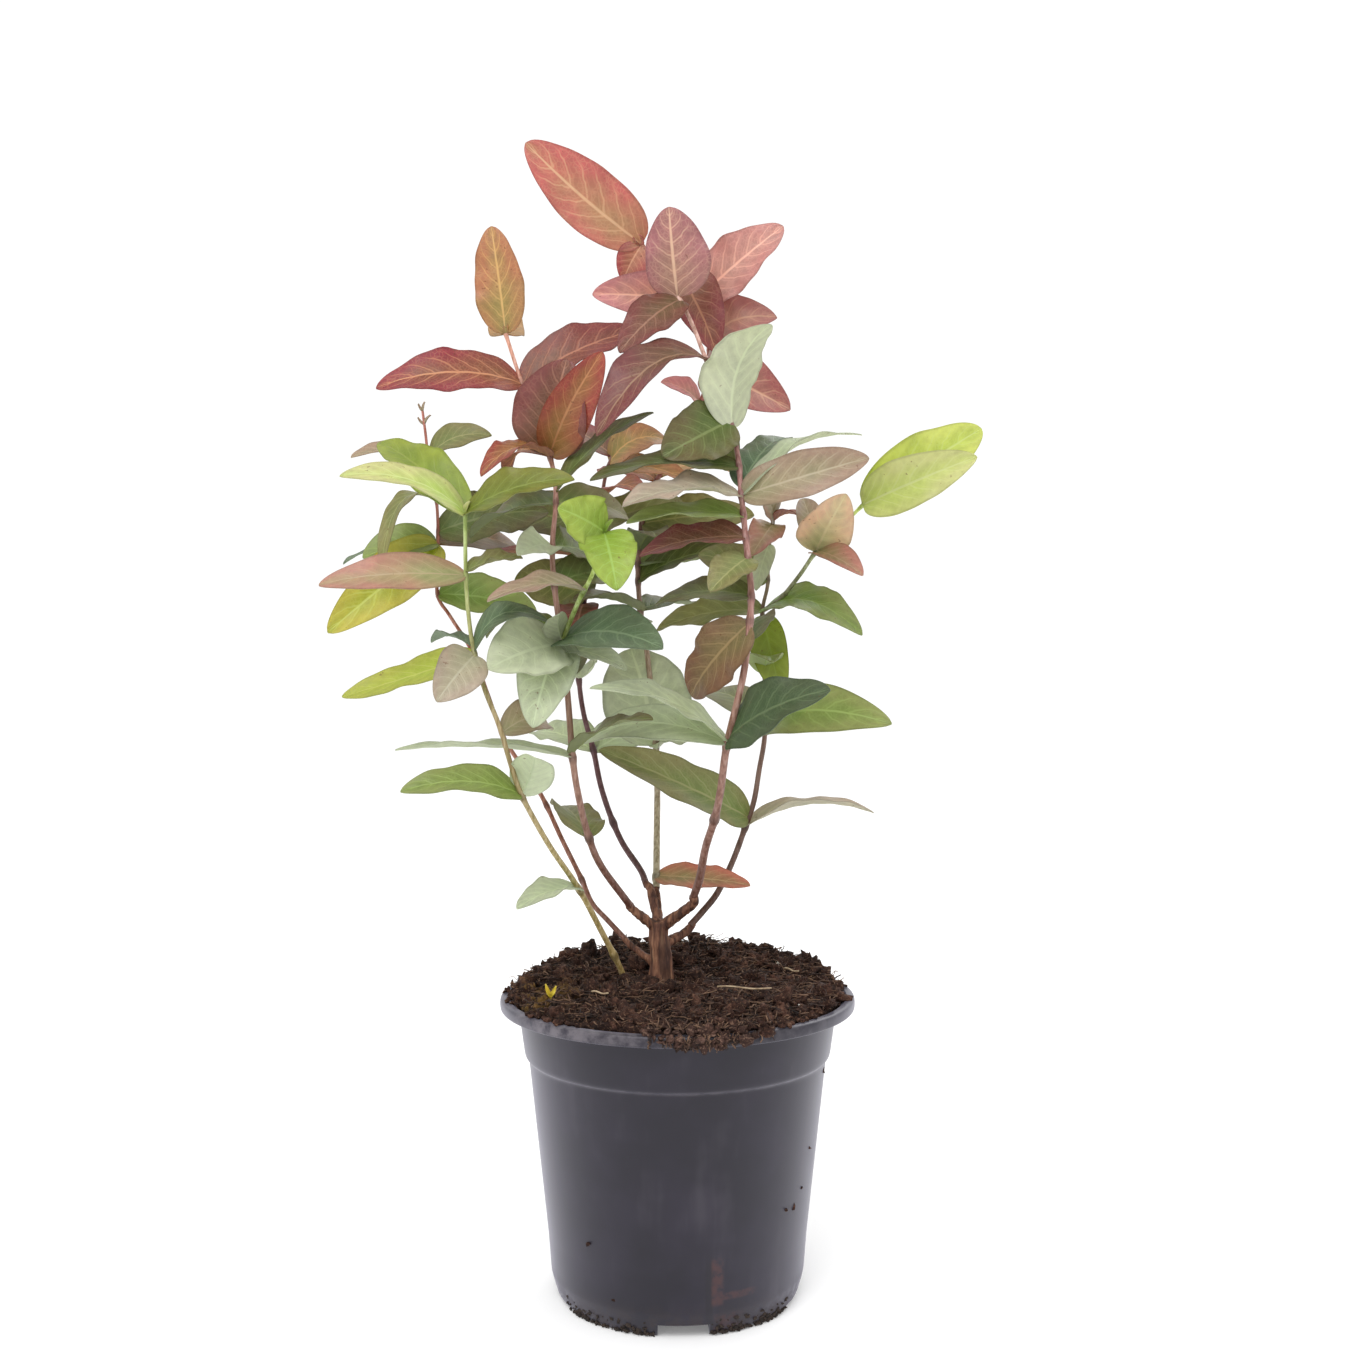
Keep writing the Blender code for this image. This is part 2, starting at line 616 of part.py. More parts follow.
def blade(name, base, tip, width, facing, arch):
    """A closed thin blade from its base to its tip, folded a little along its midrib."""
    along = tip - base
    length = along.length
    along.normalize()
    turn = math.radians(facing)
    look = Vector((0.0, -math.sin(turn), math.cos(turn)))
    upper = (look - look.dot(along) * along).normalized()
    across = along.cross(upper)
    fold = math.radians(BLADE_FOLD)
    top = []
    bottom = []
    stations = LONG_STATIONS if length * (1.0 + arch) > LONG_BLADE else SHORT_STATIONS
    for t in stations:
        half = max(width / 2 * half_width(t), BLADE_END)
        middle = base + along * length * t + upper * length * arch * 4.0 * t * (1.0 - t)
        for side in (-1, 0, 1):
            point = middle + across * side * half * math.cos(fold) + upper * abs(side) * half * math.sin(fold)
            top.append(point + upper * BLADE_THICKNESS / 2)
            bottom.append(point - upper * BLADE_THICKNESS / 2)
    rows = len(stations)
    under = len(top)
    faces = []
    for row in range(rows - 1):
        for column in (0, 1):
            a = row * 3 + column
            corners = (a, a + 1, a + 4, a + 3)
            order = ((0, 1, 2), (0, 2, 3)) if column == 0 else ((0, 1, 3), (1, 2, 3))
            for triangle in order:
                faces.append(tuple(corners[k] for k in triangle))
                faces.append(tuple(corners[k] + under for k in reversed(triangle)))
        for column in (0, 2):
            a = row * 3 + column
            faces.append((a, a + 3, a + 3 + under, a + under))
    last = (rows - 1) * 3
    for a in (0, 1, last, last + 1):
        faces.append((a, a + 1, a + 1 + under, a + under))
    return make_object(name, top + bottom, faces)


def branch_pieces(name, branch):
    """The bare stem and all blades of one branch, still separate."""
    start, end = branch["radius"]
    pieces = [tube(name, branch["path"], start, end, STEM_SIDES, STEM_SPACING)]
    for number, (height, tip, width, facing, arch) in enumerate(branch["leaves"]):
        base = point_at_height(branch["path"], height)
        pieces.append(blade(f"{name}_leaf_{number}", base, Vector(tip), width, facing, arch))
    for number, shoot in enumerate(branch.get("shoots", [])):
        pieces += branch_pieces(f"{name}_shoot_{number}", shoot)
    return pieces


def make_leafy_stem(name, branch, material):
    stem, *rest = branch_pieces(name, branch)
    stem.data.materials.append(material)
    apply_boolean(stem, "UNION", rest)
    keep_main_body(stem)
    return stem


def make_crown(material):
    """The woody foot: the trunk, which stands in the soil, and a short arm to the foot of each stem."""
    crown = tube("woody_crown", TRUNK["path"], *TRUNK["radius"], TRUNK_SIDES, TRUNK_SPACING, material)
    arms = []
    for name, branch in STEMS.items():
        if "fork" not in branch:
            continue
        foot, after = smooth_path(branch["path"], STEM_SPACING)[:2]
        along = (after - foot).normalized()
        path = [Vector(branch["fork"]), foot - along * ARM_END, foot - along * GAP]
        thick, thin = [branch["radius"][0] * swell for swell in ARM_SWELL]
        arms.append(tube("arm_" + name, path, thick, thin, ARM_SIDES, ARM_SPACING))
    apply_boolean(crown, "UNION", arms)
    keep_main_body(crown)
    return crown


def main():
    start_empty()
    pot_plastic = make_material("pot_plastic", (0.07, 0.065, 0.075), 0.42)
    peat = make_material("peat", (0.035, 0.018, 0.012), 0.95)
    bark = make_material("bark", (0.17, 0.085, 0.055), 0.75)
    foliage = make_material("foliage", (0.2, 0.2, 0.09), 0.55)
    pot = make_pot(pot_plastic)
    pot.data.shade_smooth()
    pot.data.set_sharp_from_angle(angle=math.radians(35.0))
    make_soil(peat)
    make_crown(bark).data.shade_smooth()
    for name, branch in STEMS.items():
        make_leafy_stem(name, branch, foliage)


main()
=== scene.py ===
import colorsys
import math
import random

import bmesh
import bpy
from mathutils import Matrix, Vector, noise


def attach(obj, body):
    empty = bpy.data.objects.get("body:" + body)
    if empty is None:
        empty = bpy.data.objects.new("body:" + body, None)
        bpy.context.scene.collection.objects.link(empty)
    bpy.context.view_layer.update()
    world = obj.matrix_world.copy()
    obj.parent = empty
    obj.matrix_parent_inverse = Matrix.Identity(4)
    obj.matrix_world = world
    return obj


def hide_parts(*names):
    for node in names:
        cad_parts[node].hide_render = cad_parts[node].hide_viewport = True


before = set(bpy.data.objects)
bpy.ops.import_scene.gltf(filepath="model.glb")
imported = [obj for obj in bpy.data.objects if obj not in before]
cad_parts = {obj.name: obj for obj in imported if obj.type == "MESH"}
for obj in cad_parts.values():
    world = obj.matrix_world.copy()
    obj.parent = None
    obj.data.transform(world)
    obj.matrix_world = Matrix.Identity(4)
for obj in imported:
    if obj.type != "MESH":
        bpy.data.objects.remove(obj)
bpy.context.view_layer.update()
mm = 0.001
blank = (0, 0, 0, 1)
print("frame loaded with", len(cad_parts), "nodes")


def maths(operation, swapped=False):  # a method that adds a Math node
    def run(self, other=0.0):
        first, second = (other, self) if swapped else (self, other)
        return self.node("ShaderNodeMath", {"operation": operation}, {0: first, 1: second})
    return run


# A Wire is a socket of a material. Arithmetic on it adds nodes.
class Wire:
    def __init__(self, tree, socket=None):
        self.tree = tree
        self.socket = socket

    __add__ = __radd__ = maths("ADD")
    __mul__ = __rmul__ = maths("MULTIPLY")
    __sub__ = maths("SUBTRACT")
    __rsub__ = maths("SUBTRACT", swapped=True)
    __pow__ = maths("POWER")
    __abs__ = maths("ABSOLUTE")
    larger = maths("MAXIMUM")
    pingPong = maths("PINGPONG")

    def node(self, kind, settings=None, sockets=None, out=0):
        made = self.tree.nodes.new(kind)
        for key, value in (settings or {}).items():
            setattr(made, key, value)
        for key, value in (sockets or {}).items():
            if isinstance(value, Wire):
                self.tree.links.new(value.socket, made.inputs[key])
            else:
                made.inputs[key].default_value = value
        return None if out is None else Wire(self.tree, made.outputs[out])

    def between(self, low, high):  # 0 at low, 1 at high, smooth on the way
        return self.node("ShaderNodeMapRange", {"interpolation_type": "SMOOTHSTEP"},
                         {"Value": self, "From Min": low, "From Max": high})

    def band(self, start, full, fade, end):  # 1 from full to fade, 0 before start and after end
        return self.between(start, full) * self.between(end, fade)

    def mix(self, factor, first, second):
        return self.node("ShaderNodeMix", {"data_type": "RGBA"}, {0: factor, 6: first, 7: second}, 2)

    def ramp(self, *stops):  # of (position, colour)
        ramp = self.tree.nodes.new("ShaderNodeValToRGB")
        elements = ramp.color_ramp.elements
        while len(elements) < len(stops):
            elements.new(1.0)
        for element, (position, colour) in zip(elements, stops):
            element.position = position
            element.color = paint(*colour)
        self.tree.links.new(self.socket, ramp.inputs[0])
        return Wire(self.tree, ramp.outputs["Color"])

    def brighter(self, value, saturation=1.0):
        return self.node("ShaderNodeHueSaturation", None,
                         {"Color": self, "Value": value, "Saturation": saturation})

    def noiseAt(self, scale, detail=3.0, roughness=0.55):
        sockets = {"Vector": self, "Scale": scale, "Detail": detail, "Roughness": roughness}
        return self.node("ShaderNodeTexNoise", None, sockets, "Fac")

    def stretched(self, x, y, z):
        return self.node("ShaderNodeVectorMath", {"operation": "MULTIPLY"}, {0: self, 1: (x, y, z)})

    def parts(self):
        return [self.node("ShaderNodeSeparateXYZ", None, {0: self}, k) for k in range(3)]

    def attribute(self, name, out="Color"):
        return self.node("ShaderNodeAttribute", {"attribute_name": name}, None, out)

    def bump(self, strength, distance):
        return self.node("ShaderNodeBump", None,
                         {"Height": self, "Strength": strength, "Distance": distance * mm})

    def skin(self, roughness, specular, more):
        sockets = {"Base Color": self, "Roughness": roughness, "Specular IOR Level": specular, **more}
        return self.node("ShaderNodeBsdfPrincipled", None, sockets)

    def through(self, skin, glow):  # a skin with light of this colour that comes through it
        light = self.node("ShaderNodeBsdfTranslucent", None, {"Color": self})
        return self.node("ShaderNodeMixShader", None, {0: glow, 1: skin, 2: light})


def paint(red, green, blue):  # a screen colour, 0 to 255, as the linear one that Blender works in
    return tuple((c / 255) ** 2.2 for c in (red, green, blue)) + (1.0,)


def startMaterial(name):
    material = bpy.data.materials.new(name)
    material.use_nodes = True
    material.node_tree.nodes.clear()
    tree = Wire(material.node_tree)
    return material, tree, tree.node("ShaderNodeTexCoord", out="Object")


def endMaterial(material, surface):
    surface.node("ShaderNodeOutputMaterial", None, {"Surface": surface}, None)
    return material


def linked(name, data):
    item = bpy.data.objects.new(name, data)
    bpy.context.scene.collection.objects.link(item)
    return item


def newMesh(name, points, faces, outward=True):
    mesh = bpy.data.meshes.new(name)
    mesh.from_pydata(points, [], faces)
    if outward:
        faceOutward(mesh)
    return mesh


def faceOutward(mesh, closest=None):  # closest joins the points that are nearer together
    model = bmesh.new()
    model.from_mesh(mesh)
    if closest:
        bmesh.ops.remove_doubles(model, verts=model.verts, dist=closest)
        bmesh.ops.dissolve_degenerate(model, edges=model.edges, dist=closest)
    bmesh.ops.recalc_face_normals(model, faces=model.faces)
    model.to_mesh(mesh)
    model.free()


def applyModifiers(piece):
    graph = bpy.context.evaluated_depsgraph_get()
    mesh = bpy.data.meshes.new_from_object(piece.evaluated_get(graph))
    piece.modifiers.clear()
    piece.data = mesh


def clamped(value, low, high):
    return min(max(value, low), high)


def onCircle(radius, angle):
    return radius * math.cos(angle), radius * math.sin(angle)


def tubeParts(path, radii, sides, across, start):  # rings round a path; corners count from start
    rings, faces, last = [], [], len(path) - 1
    for index, point in enumerate(path):
        along = (path[min(index + 1, last)] - path[max(index - 1, 0)]).normalized()
        across = (across - across.dot(along) * along).normalized()
        other = along.cross(across)
        for side in range(sides):
            angle = 2 * math.pi * side / sides
            rings.append(point + radii[index] * (math.cos(angle) * across + math.sin(angle) * other))
    for index in range(last):
        for side in range(sides):
            low, after = start + index * sides, (side + 1) % sides
            faces.append((low + side, low + after, low + sides + after, low + sides + side))
    end = start + last * sides
    return rings, faces + [tuple(range(start, start + sides))[::-1], tuple(range(end, end + sides))]


# Leaves. A tone is (middle of the blade, margin and tip, veins, underside), as seen on the screen.
tones = {
    "coral": ((180, 142, 108), (188, 108, 106), (232, 196, 160), (200, 140, 124)),
    "gold": ((162, 148, 88), (174, 124, 90), (218, 184, 128), (198, 164, 116)),
    "amber": ((156, 154, 100), (198, 124, 108), (204, 186, 140), (196, 150, 124)),
    "crimson": ((148, 98, 68), (146, 62, 68), (222, 162, 126), (180, 112, 106)),
    "rust": ((160, 120, 70), (158, 80, 64), (220, 168, 118), (172, 122, 104)),
    "wine": ((136, 100, 76), (144, 78, 78), (206, 154, 124), (166, 114, 106)),
    "plum": ((122, 98, 72), (136, 78, 76), (190, 150, 124), (158, 118, 108)),
    "mauve": ((182, 142, 124), (176, 120, 120), (232, 204, 174), (174, 128, 122)),
    "rose": ((176, 140, 122), (172, 112, 110), (218, 180, 156), (184, 134, 130)),
    "salmon": ((202, 164, 148), (200, 142, 140), (236, 198, 180), (212, 168, 154)),
    "umber": ((130, 120, 78), (136, 104, 78), (184, 158, 118), (150, 130, 104)),
    "olive": ((132, 144, 84), (142, 136, 90), (180, 180, 126), (158, 158, 114)),
    "dark": ((106, 122, 66), (116, 108, 72), (146, 158, 102), (138, 144, 106)),
    "sage": ((184, 194, 162), (190, 196, 170), (212, 220, 190), (205, 211, 184)),
    "ash": ((178, 174, 148), (184, 166, 148), (206, 202, 180), (200, 196, 176)),
    "green": ((128, 152, 78), (150, 158, 98), (168, 186, 114), (176, 190, 138)),
    "fern": ((126, 144, 54), (152, 158, 66), (160, 178, 92), (180, 190, 134)),
    "moss": ((110, 126, 46), (132, 134, 56), (146, 160, 84), (166, 174, 120)),
    "spring": ((140, 172, 66), (160, 180, 84), (176, 200, 108), (186, 206, 140)),
    "deep": ((78, 96, 66), (88, 98, 72), (118, 134, 98), (122, 136, 114)),
    "lime": ((178, 200, 84), (198, 200, 108), (210, 222, 146), (204, 214, 150)),
    "citron": ((170, 178, 66), (182, 178, 80), (200, 204, 120), (196, 198, 140)),
    "paleLime": ((186, 200, 112), (200, 198, 140), (214, 220, 160), (206, 210, 158)),
    "teal": ((94, 116, 84), (104, 118, 90), (148, 166, 130), (142, 158, 132)),
    "blush": ((164, 166, 118), (192, 136, 124), (206, 188, 156), (196, 166, 146)),
    "peach": ((190, 194, 150), (212, 180, 158), (224, 216, 182), (208, 190, 160)),
    "taupe": ((160, 154, 120), (170, 144, 126), (200, 190, 162), (188, 182, 160)),
}

leafForm = {
    "stations": 34,           # rows from base to tip
    "columns": 16,            # from margin to margin
    "thickness": 0.34,        # millimetres
    "rib": 0.5,               # how far the midrib stands out below
    "ribWidth": 0.55,
    "arch": 0.08,             # rise in the middle, as a part of the length
    "fold": 18.0,             # degrees that each half is raised
    "twist": 16.0,            # degrees
    "sway": 0.03,             # bend to one side, as a part of the length
    "ripple": 0.055,          # wave of the margin, as a part of the width
    "waves": (6.28, 16.0),    # how fast its two parts run
    "lopsided": 0.08,         # how much wider one half may be
    "curl": 0.045,            # how far the tip may bend up or down, as a part of the length
    "quilt": 0.24,            # rise between two side veins
    "fullWidth": 18.0,        # a narrower leaf is quilted less
    "veinPairs": 6.6,
    "veinRise": 0.36,         # how far a side vein runs forward
    "veinBend": 1.35,
    "veinRelax": 0.3,
}

leafLook = {
    "ribWidth": 0.07,
    "veinWidth": 0.045,
    "veinStrength": 0.75,
    "veinWander": 0.5,
    "netScale": 620.0,
    "netStrength": 0.24,
    "mottling": 0.34,
    "panels": 0.06,           # how much darker a leaf is between its side veins
    "edgeDark": 0.45,
    "spots": 0.55,            # small brown specks, on some parts of some leaves
    "spotTone": (112, 72, 50),
    "glow": 0.38,
}


def veinPhase(t, a):  # grows by 1 from one pair of side veins to the next, for numbers and for Wires
    form = leafForm
    rise = form["veinRise"] * a ** form["veinBend"] * (1 - form["veinRelax"] * t)
    return (t - rise) * form["veinPairs"]


def makeLeafMaterial():
    look = leafLook
    material, tree, place = startMaterial("tutsanLeaf")
    u, v, upper = tree.attribute("leafSpace", "Vector").parts()
    across = abs(v)
    patches = place.noiseAt(75.0, 2.0)
    wander = place.noiseAt(210.0, 2.0)
    grain = place.noiseAt(420.0, 4.0, 0.6)

    phase = veinPhase(u, across) + (wander - 0.5) * look["veinWander"]
    nearVein = phase.pingPong(0.5)
    sideVein = nearVein.between(look["veinWidth"] * 2.4, look["veinWidth"] * 0.4)
    sideVein = sideVein * across.between(1.0, 0.5)
    fineVein = (phase * 2 + 0.5).pingPong(0.5).between(0.14, 0.03) * across.between(0.8, 0.25)
    midrib = across.between(look["ribWidth"], look["ribWidth"] * 0.35)
    cells = tree.node("ShaderNodeTexVoronoi", {"feature": "DISTANCE_TO_EDGE"},
                      {"Vector": place, "Scale": look["netScale"]}, "Distance")
    net = cells.between(0.14, 0.02) * wander.between(0.3, 0.6) * look["netStrength"]
    veins = midrib.larger(sideVein * 0.6).larger(fineVein * 0.22).larger(net)

    flushed = across.between(0.1, 0.95) * 0.6 + u.between(0.05, 0.85) * 0.6 + (patches - 0.5) * 1.5
    body = tree.mix(flushed, tree.attribute("tone"), tree.attribute("flush"))
    panel = nearVein.between(0.08, 0.45) * across.between(1.0, 0.7) * look["panels"]
    mottled = (grain - 0.5) * look["mottling"] + (patches - 0.5) * look["mottling"]
    body = body.brighter(1.05 + mottled - panel, 0.98)
    body = tree.mix(across.between(0.88, 0.985) * look["edgeDark"], body, body.brighter(0.5, 1.1))
    body = tree.mix(veins * look["veinStrength"], body, tree.attribute("veins"))
    spots = place.noiseAt(760.0, 1.0).between(0.7, 0.74) * patches.between(0.48, 0.6)
    body = tree.mix(spots * look["spots"], body, paint(*look["spotTone"]))

    relief = veins * (1 - upper * 2) + grain * 0.25
    gloss = 0.58 - upper * 0.2 + (grain - 0.5) * 0.12
    skin = body.skin(gloss, 0.4, {"Normal": relief.bump(0.35, 0.35)})
    return endMaterial(material, body.brighter(1.2, 1.15).through(skin, look["glow"]))


# the pale lines are partly the stem's own and partly a painted highlight streak
stemLook = {"roughness": 0.45, "streak": 0.4, "darkLines": 0.6, "paleLinesAndHighlight": 0.5, "specks": 0.35}


def makeStemMaterial():
    look = stemLook
    material, tree, place = startMaterial("tutsanStem")
    streaks = place.stretched(1.0, 1.0, 0.1).noiseAt(1000.0, 3.0)
    patches = place.noiseAt(120.0, 3.0)
    specks = place.noiseAt(1500.0, 2.0).between(0.62, 0.72)
    body = tree.attribute("tone").brighter(1 + (streaks - 0.5) * look["streak"] + (patches - 0.5) * 0.4)
    body = tree.mix(streaks.between(0.5, 0.4) * look["darkLines"], body, body.brighter(0.55, 1.25))
    # pale lines along the stem: partly its own pale lines, partly a painted highlight streak
    body = tree.mix(streaks.between(0.54, 0.64) * look["paleLinesAndHighlight"], body, body.brighter(1.35, 0.75))
    body = tree.mix(specks * look["specks"], body, body.brighter(1.5, 0.7))
    return endMaterial(material, body.skin(
        look["roughness"] + (patches - 0.5) * 0.2, 0.4,
        {"Normal": (streaks + specks * 0.3).bump(0.3, 0.2)}))


barkLook = {
    "stops": ((0.28, (50, 33, 28)), (0.46, (88, 58, 47)), (0.58, (128, 90, 70)), (0.74, (178, 138, 108))),
    "crackTone": (40, 27, 24),
    "cracks": 0.6,
    "roughness": 0.66,
}


def makeBarkMaterial():
    look = barkLook
    material, tree, place = startMaterial("woodyBark")
    grain = place.stretched(1.0, 1.0, 0.14).noiseAt(620.0, 5.0, 0.65)
    patches = place.noiseAt(140.0, 3.0)
    cracks = place.stretched(1.0, 1.0, 0.1).noiseAt(380.0, 2.0).between(0.47, 0.4)
    body = (grain * 0.75 + patches * 0.3).ramp(*look["stops"])
    body = tree.mix(cracks * look["cracks"], body, paint(*look["crackTone"]))
    return endMaterial(material, body.skin(
        look["roughness"] + (grain - 0.5) * 0.2, 0.3,
        {"Normal": (grain - cracks * 0.7).bump(0.6, 0.4)}))


leafMaterial = makeLeafMaterial()
stemMaterial = makeStemMaterial()
barkMaterial = makeBarkMaterial()
print("plant materials made")

# The plant, in millimetres: (x, y, z) points of each stem from its foot to its tip, its radius at both
# ends, its colours from foot to tip, and its leaves as (height, tip, width, facing, tone, arch).
# Facing says where a leaf's upper side looks: 0 up, 90 to the front, 270 to the back.
# A leaf that names no arch has the usual one.
trunk = {
    "path": [(-6, 0, 90), (-6, 0, 106), (-6, 0, 122), (-7, 0, 130), (-7, 0, 136)],
    "radius": (4.8, 3.6),
}
trunkFork = (-7, 0, 133)
trunkSideFork = (-5, 1, 127)
trunkBaseFork = (-7, 0, 119)

